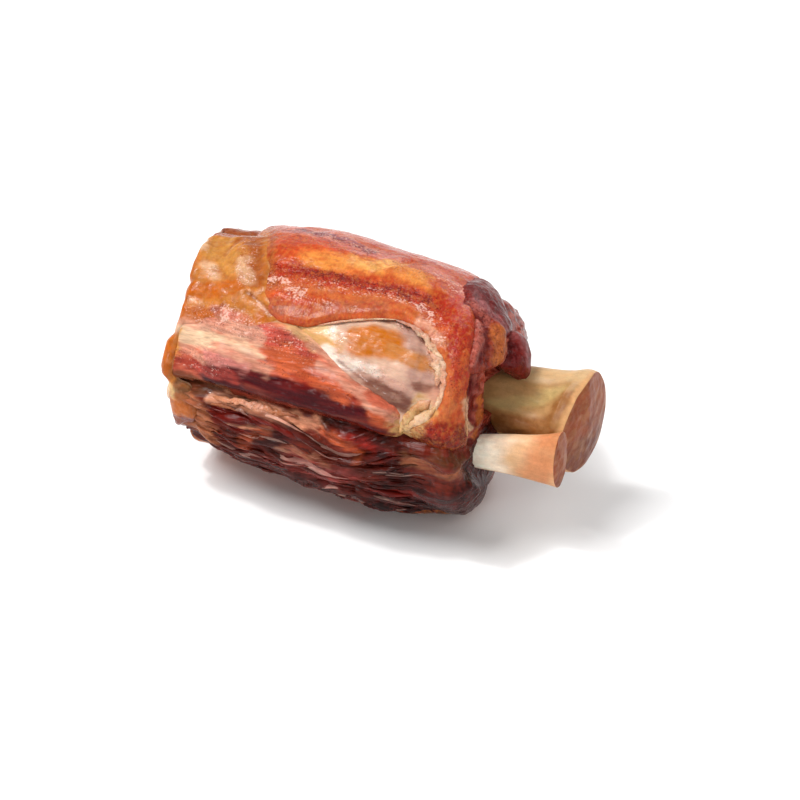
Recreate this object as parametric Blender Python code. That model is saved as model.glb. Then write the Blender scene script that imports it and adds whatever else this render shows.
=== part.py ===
"""Cooked pork knuckle on two bones, modelled lying down.

The meat is a barrel about the X axis, with the knuckle's cut face at -X and the bared bones at +X.
Every place on it is given by a station along X and an angle about the axis, both measured
from the barrel's middle: 0 degrees is the front (-Y), 90 degrees is the top (+Z).
The finished pieces are then moved so that the model stands centred on the floor.
"""

import math

import bmesh
import bpy
from mathutils import Vector

MM = 0.001

# Meat barrel ---------------------------------------------------------------------------------
AXIS_HEIGHT = 52.0 * MM          # barrel axis above the flat that the meat sags onto
BULGE_ANGLE = 126.0              # direction, in degrees, in which the upper outline is measured
MEAT_STATIONS = [x * MM for x in (-66.0, -50.0, -35.0, -20.0, 0.0, 15.0, 30.0, 40.0)]
UPPER_RADII = [r * MM for r in (53.0, 55.6, 57.6, 57.8, 55.5, 54.0, 52.0, 49.6)]
LOWER_RADII = [r * MM for r in (45.5, 48.5, 50.4, 52.2, 55.0, 56.3, 55.3, 52.8)]
MEAT_SIDES = 64
MEAT_RINGS = 52
FRONT_SIDES_SHARE = 0.68         # share of the sides that lies on the seen half
SEEN_CENTRE = 36.0               # degrees, middle of that half

# Cut face at -X ------------------------------------------------------------------------------
CUT_FACE_X = -80.0 * MM
CUT_FACE_SET_BACK = 5.0 * MM     # how far the face leans in beside the collar's amber side
CUT_FACE_LEAN = (58.0, 45.0)     # direction and spread of that lean, in degrees
CUT_FACE_BLUNTNESS = 5.0
CUT_FACE_RINGS = 9
CUT_MUSCLES = 3                  # bellies of muscle that swell on the cut face
CUT_MUSCLE_SWELL = 2.6 * MM
CUT_MUSCLE_TURN = 35.0           # degrees
CUT_SEAM_SHARE = 0.87            # where the seam under the rind runs, as a share of the radius
CUT_SEAM_DEPTH = 2.4 * MM
CUT_SEAM_SPREAD = 0.06

# Shrunk end at +X ----------------------------------------------------------------------------
SHRUNK_END_X = 61.0 * MM
SHRUNK_LOBE_REACH = 12.0 * MM    # how much further the upper back of that end reaches
SHRUNK_LOBE = (110.0, 55.0)      # direction and spread of that lobe, in degrees
SHRUNK_SAG_REACH = 4.0 * MM      # and the reach of its lower front
SHRUNK_SAG = (-60.0, 35.0)
SHRUNK_BLUNTNESS = 3.4
LOBE_TAPER = 1.7                 # bluntness that the lobe gives up
SAG_TAPER = 1.0
SHRUNK_RINGS = 14

# Rind ----------------------------------------------------------------------------------------
RIND_THICKNESS = 3.8 * MM
RIND_LIP_WIDTH = 5.2 * MM
# Edge of the opening where the rind has drawn back: (x in mm, angle in degrees).
OPENING_EDGE = [
    (-71.0, -34.0), (-71.0, 8.0), (-70.0, 29.0), (-66.0, 39.0), (-55.0, 47.5), (-40.0, 46.5),
    (-28.0, 49.5), (-12.0, 52.0), (-3.0, 56.5), (11.0, 61.0), (21.0, 64.0), (30.0, 63.3),
    (38.0, 58.8), (43.5, 50.0), (46.5, 39.5), (46.9, 30.0), (43.8, 18.0), (48.5, 10.0),
    (56.0, -1.0), (60.0, -18.0), (50.0, -40.0), (20.0, -47.0), (-30.0, -47.0), (-60.0, -44.0),
]
COLLAR_EDGE = [(-60.0, 150.0), (-59.0, 116.0), (-46.0, 78.0), (-39.0, 58.0), (-29.0, 51.0)]
COLLAR_GROOVE_DEPTH = 2.6 * MM
COLLAR_GROOVE_WIDTH = 3.4 * MM

# Muscle in the opening -----------------------------------------------------------------------
WINDOW_EDGE = [(-25.0, 49.0), (-11.0, 41.0), (2.0, 35.0), (17.0, 28.5), (31.0, 20.5), (41.0, 17.0)]
WINDOW_CREASE_DEPTH = 2.0 * MM
WINDOW_CREASE_WIDTH = 3.0 * MM
ROLL_RIDGE = [(-66.0, 28.0), (-45.0, 31.0), (-20.0, 30.0), (5.0, 25.5), (25.0, 20.0), (38.0, 14.0)]
ROLL_HEIGHT = 4.8 * MM
ROLL_WIDTH = 9.5 * MM
SEAM_LINE = [(-66.0, 8.0), (-41.0, 7.5), (-18.0, 8.0), (0.0, 6.0), (22.0, 3.0), (40.0, 4.0)]
SEAM_DEPTH = 2.8 * MM
SEAM_WIDTH = 3.6 * MM

# Shredded lower side -------------------------------------------------------------------------
SHRED_PITCH = 12.5 * MM
SHRED_DEPTH = 2.6 * MM
SHRED_SLOPE = -0.06              # drift of the strands down the side for each length along X
SHRED_WAVE = 1.4 * MM
SHRED_WAVE_LENGTH = 47.0 * MM
SHRED_TOP_ANGLE = 4.0            # degrees
SHRED_LOW_ANGLE = -46.0
SHRED_ANGLE_FADE = 5.0
SHRED_RUN = (-68.0 * MM, 58.0 * MM)
SHRED_FADE = 14.0 * MM           # over this length the strands rise out of the end skin

# Lobes and hollow at the shrunk end: (x in mm, angle, height in mm, spread in mm) ------------
END_SHAPES = [
    (64.0, 84.0, 5.0, 8.5),
    (55.0, 104.0, 3.0, 8.0),
    (60.5, 96.0, -3.4, 4.0),
    (64.5, 60.0, -8.0, 6.5),
    (69.0, 48.0, -6.0, 7.0),
    (59.0, 34.0, -4.0, 6.0),
    (52.0, -22.0, 3.5, 9.0),
    (58.0, 2.0, -3.6, 5.5),
    (50.0, 66.0, 2.2, 7.0),
]

# Soft hollows and swellings of the rind on the unseen side, in the same form -----------------
BACK_SHAPES = [
    (-30.0, 205.0, -2.2, 18.0),
    (14.0, 190.0, 2.0, 16.0),
    (36.0, 228.0, -2.0, 13.0),
    (-52.0, 238.0, 2.0, 15.0),
    (48.0, 168.0, -2.4, 10.0),
]

# Shank bone ----------------------------------------------------------------------------------
BONE_CLEARANCE = 0.35 * MM
BONE_CUT_X = -82.6 * MM          # both bones are sawn just proud of the cut face
SHANK_CENTRE_Y = 2.0 * MM
SHANK_STATIONS = [x * MM for x in (-90.0, 46.0, 62.0, 72.0, 80.0, 87.0, 92.0, 95.5)]
SHANK_CENTRE_Z = [z * MM for z in (0.5, 0.5, 0.4, 0.0, -0.8, -1.8, -2.6, -2.8)]
SHANK_HALF_WIDTHS = [r * MM for r in (12.0, 12.0, 15.0, 16.4, 17.2, 18.4, 19.8, 19.6)]
SHANK_HALF_HEIGHTS = [r * MM for r in (12.5, 12.5, 15.4, 17.0, 18.6, 21.0, 23.4, 23.0)]
SHANK_DOME = 2.5 * MM            # crown of the smooth joint face
SHANK_SIDES = 30
SHANK_RINGS = 26
TROUGH_ANGLE = 52.0
TROUGH_SPREAD = 38.0             # degrees each side of it
TROUGH_DEPTH = 0.48              # share of the bone's half width
TROUGH_MIDDLE_X = 76.0 * MM
TROUGH_HALF_LENGTH = 15.0 * MM
TROUGH_RUN_OUT = 7.0 * MM        # the trough rises over this length to the rim
RIM_HOLLOW = 0.5                 # share of the trough's depth that the rim keeps
RIM_HOLLOW_RUN = (14.0 * MM, 4.0 * MM)  # it sets in between these distances from the rim
SHANK_TILT = (0.2, -0.02)        # lean of the joint face along X, for each length in Y and in Z
RIM_CORNER = 2.0 * MM            # the rim's top corner stands out this far
RIM_CORNER_SPAN = (92.0, 24.0)   # its direction and spread, in degrees
SHANK_LEAN_RUN = (60.0 * MM, 94.5 * MM)  # the lean sets in between these stations

# Rings of both bones -------------------------------------------------------------------------
SAWN_RINGS = 2                   # on the flat sawn end
CROWN_RINGS = 5                  # on the domed joint face
SHAFT_SHARE = 0.16               # share of the rings between them that the hidden shaft takes
CHANNEL_OVERRUN = 2.0 * MM       # the channels are cut this far past the sawn ends

# Slender bone --------------------------------------------------------------------------------
SLENDER_STATIONS = [x * MM for x in (-90.0, 44.0, 56.0, 68.0, 80.0, 89.0, 94.0)]
SLENDER_CENTRE_Y = [y * MM for y in (-25.5, -26.0, -25.5, -23.8, -23.0, -23.6, -24.2)]
SLENDER_CENTRE_Z = [z * MM for z in (-11.0, -10.0, -9.2, -8.7, -8.0, -6.6, -5.4)]
SLENDER_HALF_WIDTHS = [r * MM for r in (4.8, 4.8, 5.8, 6.2, 6.3, 6.1, 6.0)]
SLENDER_HALF_HEIGHTS = [r * MM for r in (5.0, 5.0, 7.4, 8.8, 10.4, 12.2, 13.6)]
SLENDER_DOME = 0.8 * MM
SLENDER_TILT = 0.16              # lean of its end along X, for each length in Y
SLENDER_LEAN_RUN = (66.0 * MM, 93.0 * MM)
SLENDER_SIDES = 20
SLENDER_RINGS = 20

# Finishes: base colour, roughness ------------------------------------------------------------
MEAT_FINISH = ((0.40, 0.12, 0.045), 0.34)
SHANK_FINISH = ((0.66, 0.50, 0.30), 0.48)
SLENDER_FINISH = ((0.78, 0.66, 0.46), 0.45)


def eased(value, stations, samples):
    """Read samples at value with a smooth cubic through the stations."""
    last = len(stations) - 1
    if value <= stations[0]:
        return samples[0]
    if value >= stations[last]:
        return samples[last]
    i = max(k for k in range(last) if stations[k] <= value)
    span = stations[i + 1] - stations[i]
    t = (value - stations[i]) / span

    def slope(k):
        low, high = max(k - 1, 0), min(k + 1, last)
        return (samples[high] - samples[low]) / (stations[high] - stations[low])

    rise = samples[i] * (1 + 2 * t) * (1 - t) ** 2 + samples[i + 1] * t * t * (3 - 2 * t)
    lean = slope(i) * t * (1 - t) ** 2 - slope(i + 1) * t * t * (1 - t)
    return rise + span * lean


def angle_gap(first, second):
    """Smallest signed difference of two angles in degrees."""
    return (first - second + 180.0) % 360.0 - 180.0


def swell(gap, spread):
    """A soft bump of height 1 that falls away with the gap."""
    return math.exp(-(gap / spread) ** 2)


def smooth_step(low, high, value):
    """0 at low, 1 at high and eased between; low may be the larger of the two."""
    t = min(max((value - low) / (high - low), 0.0), 1.0)
    return t * t * (3 - 2 * t)


def barrel_radius(x, angle):
    """Radius of the barrel without its surface relief."""
    share = 0.5 + 0.5 * math.cos(math.radians(angle - BULGE_ANGLE))
    upper = eased(x, MEAT_STATIONS, UPPER_RADII)
    lower = eased(x, MEAT_STATIONS, LOWER_RADII)
    return share * upper + (1 - share) * lower


def unrolled(x, angle):
    """A place on the barrel as a flat point: along X, and round the girth."""
    radius = sum(UPPER_RADII) / len(UPPER_RADII)
    return Vector((x, radius * math.radians(angle_gap(angle, SEEN_CENTRE))))


def unrolled_line(line):
    """The points of a line of (x in mm, degrees), unrolled."""
    return [unrolled(x * MM, angle) for x, angle in line]


def distance_to_line(point, line, closed=False):
    """Distance from a flat point to a run of straight pieces."""
    ends = line[1:] + line[:1] if closed else line[1:]
    nearest = math.inf
    for start, end in zip(line, ends):
        run = end - start
        t = min(max((point - start).dot(run) / run.length_squared, 0.0), 1.0)
        nearest = min(nearest, (point - start - run * t).length)
    return nearest


def is_inside(point, outline):
    """Whether a flat point lies inside a closed outline."""
    inside = False
    for start, end in zip(outline, outline[1:] + outline[:1]):
        if (start.y > point.y) != (end.y > point.y):
            crossing = start.x + (point.y - start.y) * (end.x - start.x) / (end.y - start.y)
            if point.x < crossing:
                inside = not inside
    return inside


OPENING = unrolled_line(OPENING_EDGE)
COLLAR = unrolled_line(COLLAR_EDGE)
WINDOW = unrolled_line(WINDOW_EDGE)
ROLL = unrolled_line(ROLL_RIDGE)
SEAM = unrolled_line(SEAM_LINE)


def opening_share(point):
    """1 where the rind is gone, 0 where it covers the meat, eased over its lip."""
    distance = distance_to_line(point, OPENING, closed=True)
    signed = distance if is_inside(point, OPENING) else -distance
    return smooth_step(-RIND_LIP_WIDTH / 2, RIND_LIP_WIDTH / 2, signed)


def shred_relief(point, angle):
    """Grooves between the strands of the lower side."""
    share = smooth_step(SHRED_TOP_ANGLE + SHRED_ANGLE_FADE, SHRED_TOP_ANGLE - SHRED_ANGLE_FADE, angle)
    share *= smooth_step(SHRED_LOW_ANGLE - SHRED_ANGLE_FADE, SHRED_LOW_ANGLE + SHRED_ANGLE_FADE, angle)
    share *= smooth_step(SHRED_RUN[0], SHRED_RUN[0] + SHRED_FADE, point.x)
    share *= smooth_step(SHRED_RUN[1], SHRED_RUN[1] - SHRED_FADE, point.x)
    wave = SHRED_WAVE * math.sin(2 * math.pi * point.x / SHRED_WAVE_LENGTH)
    across = (point.y - SHRED_SLOPE * point.x + wave) / SHRED_PITCH
    return -share * SHRED_DEPTH * (0.5 - 0.5 * math.cos(2 * math.pi * across))


def meat_relief(x, angle):
    """Height of the surface over the barrel: lip, roll, seams, strands and end lobes."""
    point = unrolled(x, angle)
    signed_angle = angle_gap(angle, 0.0)
    bared = opening_share(point)
    relief = -RIND_THICKNESS * bared
    relief -= COLLAR_GROOVE_DEPTH * swell(distance_to_line(point, COLLAR), COLLAR_GROOVE_WIDTH)
    relief -= bared * WINDOW_CREASE_DEPTH * swell(distance_to_line(point, WINDOW), WINDOW_CREASE_WIDTH)
    relief += bared * ROLL_HEIGHT * swell(distance_to_line(point, ROLL), ROLL_WIDTH)
    relief -= bared * SEAM_DEPTH * swell(distance_to_line(point, SEAM), SEAM_WIDTH)
    relief += bared * shred_relief(point, signed_angle)
    for station, direction, height, spread in END_SHAPES + BACK_SHAPES:
        gap = (point - unrolled(station * MM, direction)).length
        relief += height * MM * swell(gap, spread * MM)
    return relief


def cut_face_relief(closing, angle):
    """Push along X of the cut face: muscles swell out of it and a seam runs under the rind."""
    belly = 0.5 + 0.5 * math.cos(math.radians(CUT_MUSCLES * (angle - CUT_MUSCLE_TURN)))
    swelling = belly * math.sin(math.pi * min(closing / CUT_SEAM_SHARE, 1.0)) ** 2
    return CUT_SEAM_DEPTH * swell(closing - CUT_SEAM_SHARE, CUT_SEAM_SPREAD) - CUT_MUSCLE_SWELL * swelling


def meat_point(share, angle):
    """Place of the meat's surface: share runs from the cut face's middle to the shrunk end's."""
    ring = share * MEAT_RINGS
    first, last = CUT_FACE_RINGS, MEAT_RINGS - SHRUNK_RINGS
    lobe = swell(angle_gap(angle, SHRUNK_LOBE[0]), SHRUNK_LOBE[1])
    sag = swell(angle_gap(angle, SHRUNK_SAG[0]), SHRUNK_SAG[1])
    if ring < first:
        turn = math.radians(90.0) * ring / first
        lean = CUT_FACE_SET_BACK * swell(angle_gap(angle, CUT_FACE_LEAN[0]), CUT_FACE_LEAN[1])
        power = 2.0 / CUT_FACE_BLUNTNESS
        x = MEAT_STATIONS[0] + (CUT_FACE_X + lean - MEAT_STATIONS[0]) * math.cos(turn) ** power
        closing = math.sin(turn) ** power if ring else 0.0
        x += cut_face_relief(closing, angle)
    elif ring > last:
        turn = math.radians(90.0) * (MEAT_RINGS - ring) / SHRUNK_RINGS
        reach = SHRUNK_END_X + SHRUNK_LOBE_REACH * lobe + SHRUNK_SAG_REACH * sag
        power = 2.0 / (SHRUNK_BLUNTNESS - LOBE_TAPER * lobe - SAG_TAPER * sag)
        x = MEAT_STATIONS[-1] + (reach - MEAT_STATIONS[-1]) * math.cos(turn) ** power
        closing = math.sin(turn) ** power if ring < MEAT_RINGS else 0.0
    else:
        x = MEAT_STATIONS[0] + (MEAT_STATIONS[-1] - MEAT_STATIONS[0]) * (ring - first) / (last - first)
        closing = 1.0
    radius = closing * (barrel_radius(x, angle) + meat_relief(x, angle))
    turn = math.radians(angle)
    place = Vector((x, -radius * math.cos(turn), radius * math.sin(turn)))
    place.z = max(place.z, -AXIS_HEIGHT)
    return place


def meat_angle(share):
    """Angle of a side: the sides stand closer together on the seen half."""
    if share < FRONT_SIDES_SHARE:
        return SEEN_CENTRE - 90.0 + 180.0 * share / FRONT_SIDES_SHARE
    return SEEN_CENTRE + 90.0 + 180.0 * (share - FRONT_SIDES_SHARE) / (1 - FRONT_SIDES_SHARE)


def bone_ring(share, rings, stations, dome, plain):
    """Station and closing of a bone's ring, from its flat sawn end to its domed joint face."""
    ring = share * rings
    cut_x = BONE_CUT_X - (CHANNEL_OVERRUN if plain else 0.0)
    shaft_end, rim_x = stations[1], stations[-1]
    if ring <= SAWN_RINGS:
        return cut_x, ring / SAWN_RINGS
    if ring >= rings - CROWN_RINGS:
        turn = math.radians(90.0) * (rings - ring) / CROWN_RINGS
        return rim_x + dome * math.cos(turn), math.sin(turn) if ring < rings else 0.0
    along = (ring - SAWN_RINGS) / (rings - CROWN_RINGS - SAWN_RINGS)
    if along < SHAFT_SHARE:
        return cut_x + (shaft_end - cut_x) * along / SHAFT_SHARE, 1.0
    return shaft_end + (rim_x - shaft_end) * (along - SHAFT_SHARE) / (1 - SHAFT_SHARE), 1.0


def trough_share(x, angle):
    """How deep the shank bone's trough is at a place, as a share of its full depth."""
    rim_x = SHANK_STATIONS[-1]
    along = swell((x - TROUGH_MIDDLE_X) / TROUGH_HALF_LENGTH, 1.0)
    along *= smooth_step(rim_x + 1.0 * MM, rim_x + 1.0 * MM - TROUGH_RUN_OUT, x)
    rim = RIM_HOLLOW * smooth_step(rim_x - RIM_HOLLOW_RUN[0], rim_x - RIM_HOLLOW_RUN[1], x)
    return max(along, rim) * swell(angle_gap(angle, TROUGH_ANGLE), TROUGH_SPREAD)


def shank_point(share, angle, clearance=0.0, plain=False):
    """Place of the shank bone's surface; plain leaves out the trough and the lean."""
    x, closing = bone_ring(share, SHANK_RINGS, SHANK_STATIONS, SHANK_DOME, plain)
    width = eased(x, SHANK_STATIONS, SHANK_HALF_WIDTHS) + clearance
    height = eased(x, SHANK_STATIONS, SHANK_HALF_HEIGHTS) + clearance
    scale = closing if plain else closing * (1.0 - TROUGH_DEPTH * trough_share(x, angle))
    turn = math.radians(angle)
    across = -scale * width * math.cos(turn)
    over = scale * height * math.sin(turn)
    place = Vector((x, SHANK_CENTRE_Y + across, eased(x, SHANK_STATIONS, SHANK_CENTRE_Z) + over))
    if not plain:
        shift = SHANK_TILT[0] * across + SHANK_TILT[1] * over
        shift += RIM_CORNER * swell(angle_gap(angle, RIM_CORNER_SPAN[0]), RIM_CORNER_SPAN[1]) * closing
        place.x += smooth_step(SHANK_LEAN_RUN[0], SHANK_LEAN_RUN[1], x) * shift
    return place


def slender_point(share, angle, clearance=0.0, plain=False):
    """Place of the slender bone's surface; plain leaves out the lean."""
    x, closing = bone_ring(share, SLENDER_RINGS, SLENDER_STATIONS, SLENDER_DOME, plain)
    width = eased(x, SLENDER_STATIONS, SLENDER_HALF_WIDTHS) + clearance
    height = eased(x, SLENDER_STATIONS, SLENDER_HALF_HEIGHTS) + clearance
    turn = math.radians(angle)
    across = -closing * width * math.cos(turn)
    place = Vector((x, eased(x, SLENDER_STATIONS, SLENDER_CENTRE_Y) + across,
                    eased(x, SLENDER_STATIONS, SLENDER_CENTRE_Z) + closing * height * math.sin(turn)))
    if not plain:
        place.x += smooth_step(SLENDER_LEAN_RUN[0], SLENDER_LEAN_RUN[1], x) * SLENDER_TILT * across
    return place


def clear_scene():
    """Start from an empty scene."""
    for item in list(bpy.data.objects):
        bpy.data.objects.remove(item, do_unlink=True)


def finish_material(name, finish):
    """A Principled material of one colour and roughness."""
    colour, roughness = finish
    material = bpy.data.materials.new(name)
    material.use_nodes = True
    shader = material.node_tree.nodes["Principled BSDF"]
    shader.inputs["Base Color"].default_value = (*colour, 1.0)
    shader.inputs["Roughness"].default_value = roughness
    shader.inputs["Metallic"].default_value = 0.0
    return material


def drawn_out(name, sides, rings, place, spread=lambda share: 360.0 * share):
    """Make a closed body from a UV sphere whose every vertex is drawn out to place(share, angle)."""
    shape = bmesh.new()
    bmesh.ops.create_uvsphere(shape, u_segments=sides, v_segments=rings, radius=1.0)
    for vertex in shape.verts:
        latitude = math.acos(min(max(-vertex.co.z, -1.0), 1.0))
        longitude = math.atan2(vertex.co.y, vertex.co.x) % math.tau
        side = round(longitude / math.tau * sides) % sides
        vertex.co = place(round(latitude / math.pi * rings) / rings, spread(side / sides))
    bmesh.ops.triangulate(shape, faces=shape.faces)
    bmesh.ops.recalc_face_normals(shape, faces=shape.faces)
    mesh = bpy.data.meshes.new(name)
    shape.to_mesh(mesh)
    shape.free()
    mesh.shade_smooth()
    body = bpy.data.objects.new(name, mesh)
    bpy.context.scene.collection.objects.link(body)
    return body


def cut_channel(body, cutter):
    """Cut the cutter's shape out of the body."""
    cutter.hide_render = True
    cutter.display_type = "WIRE"
    cut = body.modifiers.new("channel_" + cutter.name, "BOOLEAN")
    cut.operation = "DIFFERENCE"
    cut.solver = "EXACT"
    cut.object = cutter


def build_meat():
    """The meat with its rind, cut through along both bones."""
    meat = drawn_out("meat", MEAT_SIDES, MEAT_RINGS, meat_point, meat_angle)
    meat.data.materials.append(finish_material("browned_meat", MEAT_FINISH))
    channels = (
        ("shank_channel", SHANK_SIDES, SHANK_RINGS, shank_point),
        ("slender_channel", SLENDER_SIDES, SLENDER_RINGS, slender_point),
    )
    cutters = []
    for name, sides, rings, place in channels:
        cutter = drawn_out(name, sides, rings, lambda s, a, f=place: f(s, a, BONE_CLEARANCE, True))
        cut_channel(meat, cutter)
        cutters.append(cutter)
    return [meat] + cutters


def build_bones():
    """The two bones, from their sawn ends to their joint faces."""
    shank = drawn_out("shank_bone", SHANK_SIDES, SHANK_RINGS, shank_point)
    shank.data.materials.append(finish_material("stained_bone", SHANK_FINISH))
    slender = drawn_out("slender_bone", SLENDER_SIDES, SLENDER_RINGS, slender_point)
    slender.data.materials.append(finish_material("cream_bone", SLENDER_FINISH))
    return [shank, slender]


def stand_centred(pieces):
    """Move every piece so that the model's box is centred on the origin, on the floor."""
    corners = [vertex.co for piece in pieces if not piece.hide_render for vertex in piece.data.vertices]
    low = Vector(min(corner[axis] for corner in corners) for axis in range(3))
    high = Vector(max(corner[axis] for corner in corners) for axis in range(3))
    shift = Vector((-(low.x + high.x) / 2, -(low.y + high.y) / 2, -low.z))
    for piece in pieces:
        for vertex in piece.data.vertices:
            vertex.co += shift


def main():
    """Build the knuckle."""
    clear_scene()
    pieces = build_meat() + build_bones()
    stand_centred(pieces)


main()
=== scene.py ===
"""Looks of a cooked pork knuckle that lies on its side on two bones.

Every soft piece is laid out on the unrolled surface of the knuckle: a distance along it in
millimetres, and an angle round its axis in degrees, with 0 at the front and 90 on top.
Form turns such places into points in space, raised or sunk along the surface's normal.
"""

from __future__ import annotations

import dataclasses
import logging
import math
from collections.abc import Iterable, Sequence
from dataclasses import dataclass
from enum import Enum

import bmesh
import bpy
import numpy as np
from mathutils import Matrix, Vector

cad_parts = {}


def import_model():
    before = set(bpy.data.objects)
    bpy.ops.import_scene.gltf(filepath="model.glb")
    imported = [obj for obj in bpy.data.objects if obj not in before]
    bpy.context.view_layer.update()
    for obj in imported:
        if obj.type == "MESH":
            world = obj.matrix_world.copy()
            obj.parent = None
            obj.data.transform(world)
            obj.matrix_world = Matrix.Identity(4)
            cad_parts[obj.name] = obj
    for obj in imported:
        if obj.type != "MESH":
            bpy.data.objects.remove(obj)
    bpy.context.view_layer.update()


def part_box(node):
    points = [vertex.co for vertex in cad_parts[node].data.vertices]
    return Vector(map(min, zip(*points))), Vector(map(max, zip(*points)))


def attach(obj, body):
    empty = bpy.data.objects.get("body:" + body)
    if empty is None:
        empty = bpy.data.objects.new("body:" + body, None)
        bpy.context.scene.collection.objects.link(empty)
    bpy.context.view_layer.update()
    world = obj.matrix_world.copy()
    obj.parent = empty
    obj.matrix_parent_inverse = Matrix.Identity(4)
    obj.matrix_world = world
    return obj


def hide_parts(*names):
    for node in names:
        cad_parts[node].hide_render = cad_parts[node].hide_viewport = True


LOG = logging.getLogger("knuckle")
Array = np.ndarray
Pair = tuple[float, float]
Triple = tuple[float, float, float]
Line = Sequence[Pair]
Socket = bpy.types.NodeSocket

MM = 0.001
GIRTH_MM_PER_DEGREE = 0.95
AXIS_HEIGHT_MM = 52.0
AXIS_SIDE_MM = 1.65
MERGE_MM = 0.002
WANDER_MM = 1.1
WANDER_SIZE_MM = 7.0
TINY = 1e-9
NOISE_CELLS = 256
LAST_CELL = NOISE_CELLS - 1
MEAT_SLOT = "browned_meat"
SHANK_SLOT = "stained_bone"
SLENDER_SLOT = "cream_bone"


class Tone(Enum):
    """Colours of the cooked knuckle, as 8-bit display values; some are painted light and shade, as
    marked.
    """

    RIND_ORANGE = (174, 74, 34)
    RIND_EMBER = (178, 60, 22)
    RIND_COPPER = (178, 92, 50)
    # Golden orange: mottling of the rind, and the painted sheen of the band along its top.
    RIND_GOLD_AND_SHEEN = (206, 128, 58)
    RIND_PAINTED_HIGHLIGHT = (214, 160, 94)
    RIND_RED = (156, 38, 18)
    RIND_DARK = (92, 8, 12)
    RIND_PINK = (188, 116, 106)
    RIND_PLUM = (110, 54, 74)
    RIND_BROWN = (126, 56, 28)
    CRIMSON = (150, 30, 22)
    LIP_BROWN = (156, 80, 54)
    AMBER = (176, 106, 44)
    AMBER_ORANGE = (172, 84, 16)
    AMBER_GOLD = (184, 126, 58)
    AMBER_PALE = (206, 168, 134)
    AMBER_BROWN = (142, 68, 20)
    CREAM = (208, 174, 142)
    CREAM_PINK = (196, 140, 116)
    # White of fat, also used for painted glints on the wet veil.
    WHITE_FAT_AND_GLINT = (224, 208, 194)
    # Pinkish white of the painted glints: highlight dots painted into the colour.
    GLINT = (226, 178, 162)
    YELLOW_FAT = (184, 140, 88)
    OLIVE_CREAM = (204, 168, 118)
    JELLY = (182, 98, 12)
    PALE_MUSCLE = (198, 160, 138)
    MAUVE = (168, 126, 112)
    MAUVE_BROWN = (112, 66, 52)
    MAROON = (60, 2, 8)
    MAROON_RED = (124, 22, 14)
    MUSCLE_ORANGE = (178, 82, 46)
    SALMON = (184, 92, 68)
    SALMON_RED = (174, 66, 54)
    SHRED_BROWN = (92, 28, 14)
    SHRED_RED = (104, 16, 8)
    SHRED_ROSE = (146, 60, 54)
    SHRED_TAN = (164, 100, 66)
    SHRED_PALE = (198, 134, 102)
    OLIVE_BROWN = (80, 46, 24)
    # Near-black brown: mostly painted shade on the lower side, in hollows, under the muscle roll and in
    # the end's cavity; also the tone of dark specks and of the flap's inner side.
    DEEP_BROWN = (34, 8, 6)
    CRUST = (112, 28, 8)
    MEMBRANE = (136, 50, 34)
    MEMBRANE_AMBER = (170, 92, 44)
    MEMBRANE_PALE = (172, 94, 80)
    LOBE_RED = (108, 24, 16)
    LOBE_DARK = (84, 6, 8)
    LOBE_PINK = (148, 84, 84)
    BONE_CREAM = (252, 242, 222)
    BONE_LIGHT = (202, 170, 128)
    BONE_TAN = (200, 150, 102)
    BONE_ORANGE = (194, 122, 78)
    BONE_GREEN = (178, 150, 98)
    BONE_KHAKI = (162, 122, 76)
    BONE_BROWN = (130, 76, 32)
    BONE_FACE = (138, 60, 24)
    BONE_DEEP_BROWN = (98, 40, 18)

    @property
    def linear(self) -> Array:
        """The colour as linear light."""
        share = np.array(self.value, float) / 255.0
        return np.where(share <= 0.04045, share / 12.92, ((share + 0.055) / 1.055) ** 2.4)


def unit(rows: Array) -> Array:
    """Rows scaled to a length of 1."""
    return rows / np.maximum(np.linalg.norm(rows, axis=1, keepdims=True), TINY)


def ramp(low: float, high: float, values: Array) -> Array:
    """Eased step: 0 at low, 1 at high. low may be the larger of the two."""
    t = np.clip((values - low) / (high - low), 0.0, 1.0)
    return t * t * (3.0 - 2.0 * t)


def swell(gaps: Array, spread: float) -> Array:
    """A soft bump of height 1 that falls away with the gap."""
    return np.exp(-((gaps / spread) ** 2))


def angle_gap(angles: Array, middle: float) -> Array:
    """Signed difference of angles in degrees, the short way round."""
    return (angles - middle + 180.0) % 360.0 - 180.0


def eased(values: Array, stations: Sequence[float], samples: Sequence[float]) -> Array:
    """Read samples at values with a smooth cubic through the stations.

    Args:
        values: Where to read.
        stations: Rising places of the samples.
        samples: What is known at the stations.

    Returns:
        The samples eased between the stations and held past the ends.
    """
    at, known = np.array(stations, float), np.array(samples, float)
    held = np.clip(values, at[0], at[-1])
    i = np.clip(np.searchsorted(at, held, side="right") - 1, 0, len(at) - 2)
    low = np.maximum(np.arange(len(at)) - 1, 0)
    high = np.minimum(np.arange(len(at)) + 1, len(at) - 1)
    slope = (known[high] - known[low]) / (at[high] - at[low])
    span = at[i + 1] - at[i]
    t = (held - at[i]) / span
    rise = known[i] * (1 + 2 * t) * (1 - t) ** 2 + known[i + 1] * t * t * (3 - 2 * t)
    return rise + span * (slope[i] * t * (1 - t) ** 2 - slope[i + 1] * t * t * (1 - t))


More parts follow.
